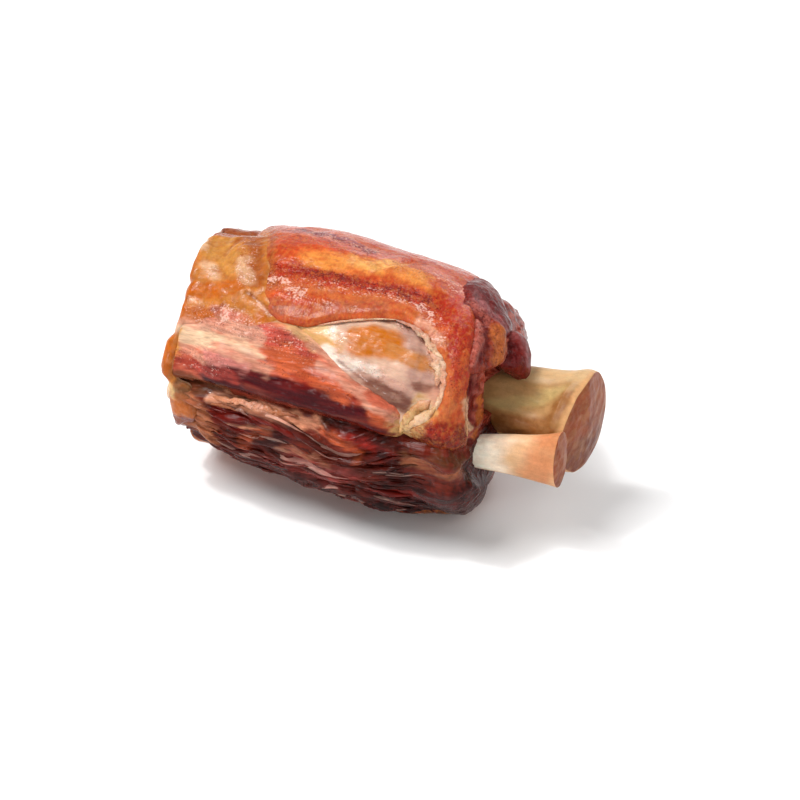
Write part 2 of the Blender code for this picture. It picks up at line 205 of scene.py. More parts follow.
@dataclass(frozen=True)
class Mottle:
    """Seeded gradient noise in space."""

    seed: int

    def single(self, points: Array) -> Array:
        """Read one layer of the noise.

        Args:
            points: Places, one row each, in cells of the noise.

        Returns:
            Values of about -1 to 1, one for each place.
        """
        draw = np.random.default_rng(self.seed)
        table = draw.permutation(NOISE_CELLS)
        slopes = draw.normal(size=(NOISE_CELLS, 3))
        slopes /= np.linalg.norm(slopes, axis=1, keepdims=True)
        cell = np.floor(points).astype(np.int64)
        inside = points - cell
        fade = inside**3 * (inside * (inside * 6 - 15) + 10)
        total = np.zeros(len(points))
        for corner in np.ndindex(2, 2, 2):
            step = np.array(corner)
            x, y, z = ((cell + step) & LAST_CELL).T
            slope = slopes[table[(table[(table[x] + y) & LAST_CELL] + z) & LAST_CELL]]
            weight = np.prod(np.where(step == 1, fade, 1 - fade), axis=1)
            total += weight * np.einsum("ij,ij->i", slope, inside - step)
        return total * 1.5

    def layered(self, points: Array, size: float, layers: int = 3,
                stretch: Triple = (1.0, 1.0, 1.0)) -> Array:
        """Read several layers of the noise, each half the size of the one before.

        Args:
            points: Places in millimetres, one row each.
            size: Size of the largest cells in millimetres.
            layers: How many layers.
            stretch: How much longer than size the cells are along each axis.

        Returns:
            Values of about -1 to 1, one for each place.
        """
        scaled = points / (size * np.array(stretch, float))
        total, share = np.zeros(len(points)), 1.0
        for layer in range(layers):
            total += share * self.single(scaled * 2.0**layer + 17.3 * layer)
            share *= 0.5
        return total


def unrolled(line: Line | Array) -> Array:
    """A line of (along, degrees) as flat points in millimetres."""
    return np.array(line, float) * (1.0, GIRTH_MM_PER_DEGREE)


def rounded(line: Line, closed: bool, pieces: int = 6) -> Array:
    """Draw a smooth curve through a few points.

    Args:
        line: Points of (along, degrees).
        closed: Whether the curve comes back to its start.
        pieces: Straight pieces between two points.

    Returns:
        The curve's flat points in millimetres.
    """
    knots = unrolled(line)
    if closed:
        padded = np.vstack([knots[-1:], knots, knots[:2]])
    else:
        padded = np.vstack([2 * knots[0] - knots[1], knots, 2 * knots[-1] - knots[-2]])
    t = np.linspace(0.0, 1.0, pieces, endpoint=False)[:, None]
    curve = []
    for a, b, c, d in zip(padded, padded[1:], padded[2:], padded[3:]):
        curve.append(0.5 * (2 * b + (c - a) * t + (2 * a - 5 * b + 4 * c - d) * t**2
                            + (3 * b - a - 3 * c + d) * t**3))
    points = np.vstack(curve)
    return points if closed else np.vstack([points, knots[-1:]])


def distance(points: Array, line: Array) -> Array:
    """Measure from flat points to a run of straight pieces.

    Args:
        points: Flat points in millimetres.
        line: Ends of the pieces, or a single point.

    Returns:
        The shortest distance of each point.
    """
    nearest = np.full(len(points), np.inf)
    if len(line) == 1:
        return np.linalg.norm(points - line[0], axis=1)
    for start, end in zip(line, line[1:]):
        run = end - start
        t = np.clip((points - start) @ run / max(run @ run, TINY), 0.0, 1.0)
        gap = points - start - t[:, None] * run
        nearest = np.minimum(nearest, np.einsum("ij,ij->i", gap, gap))
    return np.sqrt(nearest)


def within(points: Array, line: Array, reach: float) -> Array:
    """Which flat points lie in the box round a line, widened by a reach."""
    low, high = line.min(axis=0) - reach, line.max(axis=0) + reach
    return ((points >= low) & (points <= high)).all(axis=1)


def signed_distance(points: Array, outline: Array) -> Array:
    """Measure from flat points to a closed outline.

    Args:
        points: Flat points in millimetres.
        outline: Corners of the outline, each once.

    Returns:
        The shortest distance of each point, positive inside the outline.
    """
    inside = np.zeros(len(points), bool)
    for (ax, ay), (bx, by) in zip(outline, np.roll(outline, -1, axis=0)):
        spans = (ay > points[:, 1]) != (by > points[:, 1])
        if ay != by:
            crossing = ax + (points[:, 1] - ay) * (bx - ax) / (by - ay)
            inside ^= spans & (points[:, 0] < crossing)
    gap = distance(points, np.vstack([outline, outline[:1]]))
    return np.where(inside, gap, -gap)


@dataclass(frozen=True)
class Form:
    """Outer form of the knuckle, in millimetres about its own axis.

    The sizes are those of the CAD model's barrel; origin is the axis's middle in the frame.
    """

    origin: Vector
    stations: tuple[float, ...] = (-66.0, -50.0, -35.0, -20.0, 0.0, 15.0, 30.0, 40.0)
    upper: tuple[float, ...] = (53.0, 55.6, 57.6, 57.8, 55.5, 54.0, 52.0, 49.6)
    lower: tuple[float, ...] = (45.5, 48.5, 50.4, 52.2, 55.0, 56.3, 55.3, 52.8)
    bulge_angle: float = 126.0
    floor: float = -51.7
    settling: float = 1.0
    cut_x: float = -80.0
    cut_lean: float = 5.0
    lean_angle: float = 58.0
    lean_spread: float = 45.0
    cut_turn: tuple[float, ...] = (-123.0, -78.0, -66.0)
    corner_angle: float = 104.0
    corner_spread: float = 34.0
    shrunk_x: float = 61.0
    shrunk_turn: tuple[float, ...] = (40.0, 60.0, 98.0)
    lobe_angle: float = 110.0
    lobe_spread: float = 55.0
    lobe_reach: float = 12.0
    sag_angle: float = -60.0
    sag_spread: float = 35.0
    sag_reach: float = 4.0

    def outline(self, along: Array, angle: Array) -> Array:
        """Place points on the bare form.

        Args:
            along: Distance along the surface from the cut face's middle to the shrunk end's.
            angle: Degrees round the axis.

        Returns:
            Points in millimetres about the axis, one row each.
        """
        first, last = self.stations[0], self.stations[-1]
        share = 0.5 + 0.5 * np.cos(np.radians(angle - self.bulge_angle))
        radius = share * eased(along, self.stations, self.upper)
        radius += (1 - share) * eased(along, self.stations, self.lower)
        lobe = swell(angle_gap(angle, self.lobe_angle), self.lobe_spread)
        sag = swell(angle_gap(angle, self.sag_angle), self.sag_spread)
        face = self.cut_x + self.cut_lean * swell(angle_gap(angle, self.lean_angle), self.lean_spread)
        reach = self.shrunk_x + self.lobe_reach * lobe + self.sag_reach * sag
        left = np.radians(np.interp(along, self.cut_turn, (0.0, 45.0, 90.0)))
        right = np.radians(np.interp(along, self.shrunk_turn, (90.0, 45.0, 0.0)))
        blunt = 2.0 / (3.4 - 1.7 * lobe - sag)
        corner = 0.4 - 0.2 * swell(angle_gap(angle, self.corner_angle), self.corner_spread)
        x = np.clip(along, first, last)
        x = np.where(along < first, first + (face - first) * np.abs(np.cos(left)) ** corner, x)
        x = np.where(along > last, last + (reach - last) * np.abs(np.cos(right)) ** blunt, x)
        closing = np.abs(np.sin(left)) ** corner * np.abs(np.sin(right)) ** blunt
        turn = np.radians(angle)
        radius = radius * closing
        return np.stack([x, -radius * np.cos(turn), radius * np.sin(turn)], axis=1)

    def normals(self, along: Array, angle: Array) -> Array:
        """Find which way the bare form faces.

        Args:
            along: Distance along the surface.
            angle: Degrees round the axis.

        Returns:
            Outward unit normals, one row each.
        """
        step = 0.6
        run = self.outline(along + step, angle) - self.outline(along - step, angle)
        turn = self.outline(along, angle + step) - self.outline(along, angle - step)
        normal = np.cross(turn, run)
        middle = self.outline(along, angle) * (0.35, 1.0, 1.0)
        normal *= np.sign(np.einsum("ij,ij->i", normal, middle))[:, None]
        return unit(normal)

    def raised(self, along: Array, angle: Array, height: Array) -> Array:
        """Raise points over the form along its normals, and keep them above the floor.

        Args:
            along: Distance along the surface.
            angle: Degrees round the axis.
            height: How far each is raised in millimetres.

        Returns:
            Points in millimetres about the axis, one row each.
        """
        points = self.outline(along, angle) + self.normals(along, angle) * height[:, None]
        over = points[:, 2] - self.floor
        points[:, 2] = self.floor + 0.5 * (over + np.sqrt(over**2 + self.settling**2))
        return points


@dataclass
class Field:
    """Where every vertex of a piece lies: along and round the knuckle, and in space."""

    along: Array
    angle: Array
    place: Array
    flat: Array = dataclasses.field(init=False)
    wandering: Array = dataclasses.field(init=False)

    def __post_init__(self) -> None:
        """Work out the places on the unrolled surface in millimetres, true and wandering."""
        self.flat = np.stack([self.along, self.angle * GIRTH_MM_PER_DEGREE], axis=1)
        drift = [WANDER_MM * self.noise(seed, WANDER_SIZE_MM) for seed in (31, 32)]
        self.wandering = self.flat + np.stack(drift, axis=1)

    def noise(self, seed: int, size: float, layers: int = 3,
              stretch: Triple = (1.0, 1.0, 1.0)) -> Array:
        """Layered noise at every vertex; each use has a seed of its own."""
        return Mottle(seed).layered(self.place, size, layers, stretch)


@dataclass(frozen=True)
class Patch:
    """A band along a line of (along, degrees), or the inside of a closed line."""

    line: Line
    width: float
    edge: float
    closed: bool = dataclasses.field(default=False, kw_only=True)

    def cover(self, flat: Array) -> Array:
        """Find how much is covered.

        Args:
            flat: Flat points in millimetres.

        Returns:
            Each point's share, from 0 to 1.
        """
        bent = self.closed or len(self.line) > 2
        curve = rounded(self.line, self.closed, pieces=4) if bent else unrolled(self.line)
        reach = self.width + self.edge
        near = within(flat, curve, reach)
        share = np.zeros(len(near))
        if self.closed:
            share[near] = ramp(-self.edge, self.edge, signed_distance(flat[near], curve))
        else:
            share[near] = ramp(reach, self.width, distance(flat[near], curve))
        return share


@dataclass(frozen=True)
class Relief(Patch):
    """A patch that is raised or sunk by a height in millimetres."""

    height: float


@dataclass(frozen=True)
class Grain(Patch):
    """A patch of fine dark specks, painted glints or blisters."""

    specks: float = 0.0
    painted_glints: float = 0.0
    blisters: float = 0.0


@dataclass(frozen=True)
class Paint(Patch):
    """A patch of one tone, with a border that noise breaks up."""

    tone: Tone
    strength: float = 1.0
    broken: float = 0.6
    grain: float = 4.0
    run: float = 2.0

    def share(self, field: Field) -> Array:
        """Find how much of the tone each vertex takes.

        Args:
            field: Where the vertices lie.

        Returns:
            Each vertex's share, from 0 to the strength.
        """
        cover = self.cover(field.wandering)
        near = cover > 0.0
        if self.broken and near.any():
            part = cover[near]
            mottle = Mottle(self.tone.value[0] + self.tone.value[1])
            noise = mottle.layered(field.place[near], self.grain, 3, (self.run, 1.0, 1.0))
            part += self.broken * (0.5 * part + 3.0 * part * (1.0 - part)) * noise
            cover[near] = np.clip(part, 0.0, 1.0)
        return cover * self.strength


@dataclass
class Looks:
    """What the finish of a piece reads at each vertex."""

    tint: Array
    wet: Array
    blister: Array
    speck: Array
    painted_glint: Array

    @classmethod
    def plain(cls, count: int, tone: Tone, wet: float = 0.6) -> Looks:
        """One tone all over."""
        zero = np.zeros(count)
        return cls(np.tile(tone.linear, (count, 1)), np.full(count, wet), zero, zero, zero)

    def lay(self, cover: Array, tone: Tone, strength: float = 1.0) -> None:
        """Blend a tone in where it covers."""
        share = np.clip(cover * strength, 0.0, 1.0)[:, None]
        self.tint = self.tint * (1 - share) + tone.linear * share

    def paint(self, field: Field, paints: Iterable[Paint]) -> None:
        """Lay several paints in order."""
        for paint in paints:
            self.lay(paint.share(field), paint.tone)

    def season(self, field: Field, grains: Iterable[Grain]) -> None:
        """Scatter specks, painted glints and blisters.

        Args:
            field: Where the vertices lie.
            grains: What is scattered, and where.
        """
        for grain in grains:
            cover = grain.cover(field.wandering)
            self.speck = np.maximum(self.speck, cover * grain.specks)
            self.painted_glint = np.maximum(self.painted_glint, cover * grain.painted_glints)
            self.blister = np.maximum(self.blister, cover * grain.blisters)

    def shade(self, factor: Array) -> None:
        """Multiply the tint by a factor for each vertex."""
        self.tint = self.tint * np.clip(factor, 0.0, 2.5)[:, None]


def heights(field: Field, reliefs: Iterable[Relief]) -> Array:
    """Add up several reliefs.

    Args:
        field: Where the vertices lie.
        reliefs: What is raised or sunk.

    Returns:
        The height of every vertex in millimetres.
    """
    total = np.zeros(len(field.along))
    for relief in reliefs:
        total += relief.height * relief.cover(field.flat)
    return total


def spaced(*stretches: Triple) -> Array:
    """Rising places from stretches of (start, end, step)."""
    places = [np.linspace(a, b, max(int(round((b - a) / step)), 1), endpoint=False)
              for a, b, step in stretches]
    return np.concatenate([*places, [stretches[-1][1]]])


def plane_grid(alongs: Array, angles: Array, closed: bool) -> bmesh.types.BMesh:
    """Make a grid on the unrolled surface.

    Args:
        alongs: Rising places of its columns in millimetres.
        angles: Rising places of its rows in degrees.
        closed: Whether the last row is the first one again.

    Returns:
        A mesh whose vertices are at (along, degrees, 0).
    """
    sheet = bmesh.new()
    columns, rows = len(alongs) - 1, len(angles) - 1
    bmesh.ops.create_grid(sheet, x_segments=columns, y_segments=rows, size=1.0)
    ends: dict[tuple[int, int], bmesh.types.BMVert] = {}
    for vertex in sheet.verts:
        i = round((vertex.co.x + 1) / 2 * columns)
        j = round((vertex.co.y + 1) / 2 * rows)
        vertex.co = (alongs[i], angles[j], 0.0)
        if closed and j in (0, rows):
            ends[i, j] = vertex
    if closed:
        seam = {ends[i, rows]: ends[i, 0] for i in range(columns + 1)}
        bmesh.ops.weld_verts(sheet, targetmap=seam)
    return sheet


def plane_points(sheet: bmesh.types.BMesh) -> Array:
    """The vertices of a mesh as rows of an array."""
    return np.array([vertex.co[:] for vertex in sheet.verts])


def drawn_balls(sizes: Sequence[tuple[int, int]]) -> tuple[bmesh.types.BMesh, Array, Array]:
    """Make closed balls that are then drawn out along paths.

    Args:
        sizes: For each ball, its sides and its rings from pole to pole.

    Returns:
        A mesh of all the balls, and each vertex's share of the way from pole to pole and its
        turn in radians.
    """
    shape = bmesh.new()
    balls: dict[tuple[int, int], bpy.types.Mesh] = {}
    for sides, rings in sizes:
        if (sides, rings) not in balls:
            ball = bmesh.new()
            bmesh.ops.create_uvsphere(ball, u_segments=sides, v_segments=rings, radius=1.0)
            balls[sides, rings] = bpy.data.meshes.new("ball")
            ball.to_mesh(balls[sides, rings])
            ball.free()
        shape.from_mesh(balls[sides, rings])
    for mesh in balls.values():
        bpy.data.meshes.remove(mesh)
    across, over, up = plane_points(shape).T
    share = np.arccos(np.clip(-up, -1.0, 1.0)) / math.pi
    return shape, share, np.arctan2(over, across)


def ball_vertices(sides: int, rings: int) -> int:
    """How many vertices a ball has."""
    return sides * (rings - 1) + 2


def close_poles(places: Array, along: Array) -> None:
    """Draw the first and the last ring of a closed grid together.

    Args:
        places: The vertices in space, which are changed.
        along: How far along the grid each of them is.
    """
    for pole in (along.min(), along.max()):
        ring = along == pole
        places[ring] = places[ring].mean(axis=0)


@dataclass(frozen=True)
class Layer:
    """One pattern of a finish: its size in millimetres, and how much it shades and roughens."""

    size: float
    stretch: Triple = (1.0, 1.0, 1.0)
    bump: float = 0.0
    shade: float = 0.0
    blistered: bool = False


@dataclass(frozen=True)
class Stain:
    """A tone that soaks into the surface where a pattern is high."""

    tone: Tone
    size: float
    stretch: Triple = (1.0, 1.0, 1.0)
    share: float = 0.5


class Recipe:
    """Adds nodes to one material and joins them."""

    def __init__(self, name: str) -> None:
        """Start a material with its Principled shader.

        Args:
            name: The material's name.
        """
        self.material = bpy.data.materials.new(name)
        self.material.use_nodes = True
        self.tree = self.material.node_tree
        self.shader = self.tree.nodes["Principled BSDF"]
        self.space = self.tree.nodes.new("ShaderNodeTexCoord").outputs["Object"]

    def join(self, value: Socket | float | Sequence[float], socket: Socket) -> None:
        """Link a socket, or set a plain value.

        Args:
            value: The socket or value that is read.
            socket: The input that reads it.
        """
        if isinstance(value, Socket):
            self.tree.links.new(value, socket)
        else:
            socket.default_value = value

    def add(self, kind: str, inputs: dict[int | str, object], **settings: str) -> bpy.types.Node:
        """Add a node.

        Args:
            kind: The end of Blender's name for it.
            inputs: What its inputs read, by name or number.
            settings: Its own settings.

        Returns:
            The node.
        """
        node = self.tree.nodes.new(f"ShaderNode{kind}")
        for key, value in settings.items():
            setattr(node, key, value)
        for key, value in inputs.items():
            self.join(value, node.inputs[key])
        return node

    def attribute(self, name: str, output: str = "Fac") -> Socket:
        """Read a vertex attribute."""
        return self.add("Attribute", {}, attribute_name=name).outputs[output]

    def noise(self, size: float, stretch: Triple, shift: float = 0.0) -> Socket:
        """Add noise in space.

        Args:
            size: Size of its cells in millimetres.
            stretch: How much longer than size they are along each axis.
            shift: Sets the pattern apart from others of the same size.

        Returns:
            Values of about 0 to 1.
        """
        scale = [1.0 / (size * MM * s) for s in stretch]
        place = self.add("Mapping", {"Scale": scale, "Location": (shift,) * 3, "Vector": self.space})
        vector = place.outputs["Vector"]
        return self.add("TexNoise", {"Scale": 1.0, "Detail": 3.0, "Vector": vector}).outputs["Fac"]

    def span(self, value: Socket, source: Pair, target: Pair) -> Socket:
        """Map one range of values to another."""
        ends = dict(zip(("From Min", "From Max", "To Min", "To Max"), (*source, *target)))
        return self.add("MapRange", {**ends, "Value": value}).outputs["Result"]

    def combine(self, operation: str, first: Socket, second: Socket) -> Socket:
        """Work out one value from two, by Blender's name for the operation."""
        return self.add("Math", {0: first, 1: second}, operation=operation).outputs["Value"]

    def scattered(self, density: Socket, size: float, shift: float, most: float) -> Socket:
        """Add clustered spots.

        Args:
            density: How close together they are, from 0 to 1.
            size: Their size in millimetres.
            shift: Sets the pattern apart from others of the same size.
            most: How strong the middle of a spot is.

        Returns:
            The spots' strength.
        """
        patches = self.noise(5.0 * size, (1.2, 1.0, 1.0), shift + 5.0)
        clusters = self.span(patches, (0.42, 0.62), (0.02, 0.26))
        crowd = self.combine("MULTIPLY", density, clusters)
        spots = self.combine("ADD", crowd, self.noise(size, (1.3, 1.0, 1.0), shift))
        shown = self.span(density, (0.02, 0.3), (0.0, 1.0))
        return self.combine("MULTIPLY", self.span(spots, (0.62, 0.78), (0.0, most)), shown)

    def blend(self, share: Socket, first: Socket, tone: Tone) -> Socket:
        """Mix a share of a tone into a colour."""
        inputs = {0: share, 6: first, 7: (*tone.linear, 1.0)}
        return self.add("Mix", inputs, data_type="RGBA").outputs[2]

    def dim(self, colour: Socket, factor: Socket) -> Socket:
        """Multiply a colour by a value."""
        inputs = {0: colour, "Scale": factor}
        return self.add("VectorMath", inputs, operation="SCALE").outputs["Vector"]

    def bump(self, height: Socket, distance: float, strength: Socket | float,
             before: Socket | None) -> Socket:
        """Roughen the surface.

        Args:
            height: The pattern.
            distance: How high it stands in millimetres.
            strength: How much of it is taken, from 0 to 1.
            before: The bump that it comes on top of.

        Returns:
            The bumped normal.
        """
        inputs = {"Distance": distance * MM, "Height": height, "Strength": strength}
        if before is not None:
            inputs["Normal"] = before
        return self.add("Bump", inputs).outputs["Normal"]


@dataclass(frozen=True)
class Finish:
    """A cooked surface: its vertex tint, mottled, speckled, dotted with painted glints and roughened by
    patterns in space.
    """

    name: str
    layers: tuple[Layer, ...]
    stains: tuple[Stain, ...] = ()
    speck: Tone = Tone.RIND_DARK
    painted_glint: Tone = Tone.GLINT
    speck_size: float = 0.6
    painted_glint_size: float = 0.8
    dry: float = 0.55
    shiny: float = 0.24
    coat: float = 0.12
    coat_roughness: float = 0.12
    flesh: float = 0.12
    flesh_depth: float = 0.003
    index: float = 1.36
    specular: float = 0.38
    flesh_reach: Triple = (1.0, 0.35, 0.2)
    layer_range: Pair = (0.25, 0.75)
    layer_shift: float = 3.7
    stain_range: Pair = (0.46, 0.68)
    stain_shifts: Pair = (7.9, 5.3)
    speck_shift: float = 11.0
    painted_glint_shift: float = 29.0
    most_speck: float = 0.8
    most_painted_glint: float = 0.75

    def material(self) -> bpy.types.Material:
        """Build the node tree.

        Returns:
            The material.
        """
        recipe = Recipe(self.name)
        colour, normal = recipe.attribute("tint", "Color"), None
        blister = recipe.attribute("blister")
        for number, layer in enumerate(self.layers):
            pattern = recipe.noise(layer.size, layer.stretch, self.layer_shift * number)
            if layer.shade:
                shades = (1.0 - layer.shade, 1.0 + layer.shade)
                factor = recipe.span(pattern, self.layer_range, shades)
                colour = recipe.dim(colour, factor)
            if layer.bump:
                normal = recipe.bump(pattern, layer.bump, blister if layer.blistered else 1.0, normal)
        for number, stain in enumerate(self.stains):
            shift = self.stain_shifts[0] + self.stain_shifts[1] * number
            pattern = recipe.noise(stain.size, stain.stretch, shift)
            share = recipe.span(pattern, self.stain_range, (0.0, stain.share))
            colour = recipe.blend(share, colour, stain.tone)
        speck = recipe.attribute("speck")
        specks = recipe.scattered(speck, self.speck_size, self.speck_shift, self.most_speck)
        colour = recipe.blend(specks, colour, self.speck)
        # Painted glints: clusters of pinkish-white highlight dots blended into the colour.
        painted_glint = recipe.attribute("painted_glint")
        painted_glints = recipe.scattered(painted_glint, self.painted_glint_size, self.painted_glint_shift, self.most_painted_glint)
        colour = recipe.blend(painted_glints, colour, self.painted_glint)
        recipe.join(colour, recipe.shader.inputs["Base Color"])
        gloss = recipe.span(recipe.attribute("wet"), (0.0, 1.0), (self.dry, self.shiny))
        recipe.join(gloss, recipe.shader.inputs["Roughness"])
        if normal is not None:
            recipe.join(normal, recipe.shader.inputs["Normal"])
        for key, value in (("Coat Weight", self.coat), ("Coat Roughness", self.coat_roughness),
                           ("Coat IOR", self.index), ("IOR", self.index),
                           ("Specular IOR Level", self.specular), ("Subsurface Weight", self.flesh),
                           ("Subsurface Scale", self.flesh_depth)):
            recipe.shader.inputs[key].default_value = value
        recipe.shader.inputs["Subsurface Radius"].default_value = self.flesh_reach
        return recipe.material


class Butcher:
    """Turns shaped meshes into pieces that ride on the knuckle."""

    def __init__(self, form: Form) -> None:
        """Keep the form that places the pieces."""
        self.form = form

    def piece(self, name: str, shape: bmesh.types.BMesh, places: Array, looks: Looks, finish: Finish,
              slot: str = MEAT_SLOT, nodes: tuple[str, ...] = ("meat",)) -> bpy.types.Object:
        """Place a shaped mesh, give it its looks and let it ride on the body.

        Args:
            name: The piece's name.
            shape: Its mesh, which is used up.
            places: Its vertices in millimetres about the knuckle's axis.
            looks: What the finish reads at each vertex.
            finish: What it is finished with.
            slot: The record's material slot; not used here.
            nodes: CAD nodes that it stands for.

        Returns:
            The finished object.
        """
        mesh = bpy.data.meshes.new(name)
        shape.to_mesh(mesh)
        shape.free()
        placed = places * MM + np.array(self.form.origin)
        mesh.vertices.foreach_set("co", placed.astype(np.float32).ravel())
        tint = mesh.color_attributes.new("tint", "FLOAT_COLOR", "POINT")
        rgba = np.hstack([np.clip(looks.tint, 0.0, 1.0), np.ones((len(places), 1))])
        tint.data.foreach_set("color", rgba.astype(np.float32).ravel())
        for key, values in (("wet", looks.wet), ("blister", looks.blister), ("speck", looks.speck),
                            ("painted_glint", looks.painted_glint)):
            layer = mesh.attributes.new(key, "FLOAT", "POINT")
            layer.data.foreach_set("value", np.clip(values, 0.0, 1.0).astype(np.float32))
        skin = bmesh.new()
        skin.from_mesh(mesh)
        bmesh.ops.remove_doubles(skin, verts=skin.verts, dist=MERGE_MM * MM)
        bmesh.ops.recalc_face_normals(skin, faces=skin.faces)
        skin.to_mesh(mesh)
        skin.free()
        mesh.shade_smooth()
        mesh.materials.append(finish.material())
        piece = bpy.data.objects.new(name, mesh)
        bpy.context.scene.collection.objects.link(piece)
        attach(piece, "root")
        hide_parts(*nodes)
        return piece


RIND_FINISH = Finish("glossy_rind", (
    Layer(8, bump=0.8, shade=0.12),
    Layer(2.2, (1.4, 1, 1), bump=0.3, shade=0.20),
    Layer(0.6, (1, 4, 4), bump=0.10, shade=0.14),
    Layer(0.9, bump=0.08, shade=0.14),
    Layer(1.3, bump=1.1, blistered=True),
), stains=(
    Stain(Tone.RIND_RED, 2.6, (1.6, 1, 1), 0.5),
    Stain(Tone.RIND_GOLD_AND_SHEEN, 1.5, (1, 1.6, 1.6), 0.3),
), dry=0.44, shiny=0.15, coat=0.1, specular=0.24)
COLLAR_FINISH = Finish("amber_skin", (
    Layer(7, bump=1, shade=0.14),
    Layer(2, bump=0.22, shade=0.14),
    Layer(0.7, bump=0.05, shade=0.08),
    Layer(1.3, bump=1, blistered=True),
), stains=(Stain(Tone.AMBER_BROWN, 3.6, share=0.45), Stain(Tone.AMBER_PALE, 2.4, share=0.1)),
    speck=Tone.AMBER_BROWN, dry=0.42, shiny=0.12, coat=0.1, flesh=0.2, flesh_depth=0.005, specular=0.22)
MUSCLE_FINISH = Finish("bare_muscle", (
    Layer(6, (3, 1, 1), bump=0.7, shade=0.14),
    Layer(1.5, (8, 1, 1), bump=0.22, shade=0.30),
    Layer(0.6, (7, 1, 1), bump=0.07, shade=0.18),
    Layer(1.3, bump=0.9, blistered=True),
), stains=(Stain(Tone.MAROON_RED, 1.6, (6, 1, 1), 0.22),),
    speck=Tone.MAROON, dry=0.42, shiny=0.15, coat=0.08, flesh=0.15, specular=0.16)
WINDOW_FINISH = Finish("veiled_muscle", (
    Layer(7, (1.6, 1, 1), bump=0.8, shade=0.12),
    Layer(2, (4, 1, 1), bump=0.16, shade=0.14),
    Layer(0.6, (3, 1, 1), bump=0.05, shade=0.08),
    Layer(1.3, bump=0.8, blistered=True),
), stains=(Stain(Tone.MAUVE, 2.8, (2.5, 1, 1), 0.2), Stain(Tone.CREAM, 1.6, (3, 1, 1), 0.14)),
    speck=Tone.MAUVE_BROWN, shiny=0.14, coat=0.14, coat_roughness=0.08, flesh=0.2, flesh_depth=0.004,
    specular=0.26)
SHRED_FINISH = Finish("shredded_meat", (
    Layer(1.2, (7, 1, 1), bump=0.3, shade=0.35),
    Layer(0.4, (6, 1, 1), bump=0.08, shade=0.2),
), stains=(
    Stain(Tone.SHRED_ROSE, 1.4, (6, 1, 1), 0.16),
    Stain(Tone.SHRED_RED, 2.6, (3, 1, 1), 0.25),
), speck=Tone.DEEP_BROWN, dry=0.36, shiny=0.12, coat=0.1, coat_roughness=0.08, specular=0.14)
MEMBRANE_FINISH = Finish("wrinkled_membrane", (
    Layer(3, bump=0.6, shade=0.2),
    Layer(0.9, (1, 1, 3), bump=0.25, shade=0.25),
    Layer(0.45, bump=0.05, shade=0.12),
), stains=(
    Stain(Tone.LOBE_PINK, 1.3, (1, 1, 3), 0.22),
    Stain(Tone.LOBE_DARK, 2.2, (1, 1, 2), 0.4),
), speck=Tone.MAROON, dry=0.38, shiny=0.14, coat=0.08, coat_roughness=0.1, specular=0.18)
FAT_FINISH = Finish("soft_fat", (
    Layer(1.5, bump=0.25, shade=0.14),
    Layer(0.5, bump=0.06, shade=0.08),
), stains=(Stain(Tone.SHRED_TAN, 1.8, share=0.4),),
    speck=Tone.SHRED_BROWN, shiny=0.18, coat=0.1, flesh=0.2, specular=0.24)
BONE_FINISH = Finish("cooked_bone", (
    Layer(6, bump=0.3, shade=0.10),
    Layer(1.2, (4, 1, 1), bump=0.10, shade=0.10),
    Layer(0.5, bump=0.06, shade=0.08),
), stains=(Stain(Tone.BONE_TAN, 5, share=0.25),),
    speck=Tone.BONE_BROWN, dry=0.5, shiny=0.3, coat=0.06, coat_roughness=0.25, flesh=0.1, specular=0.22)


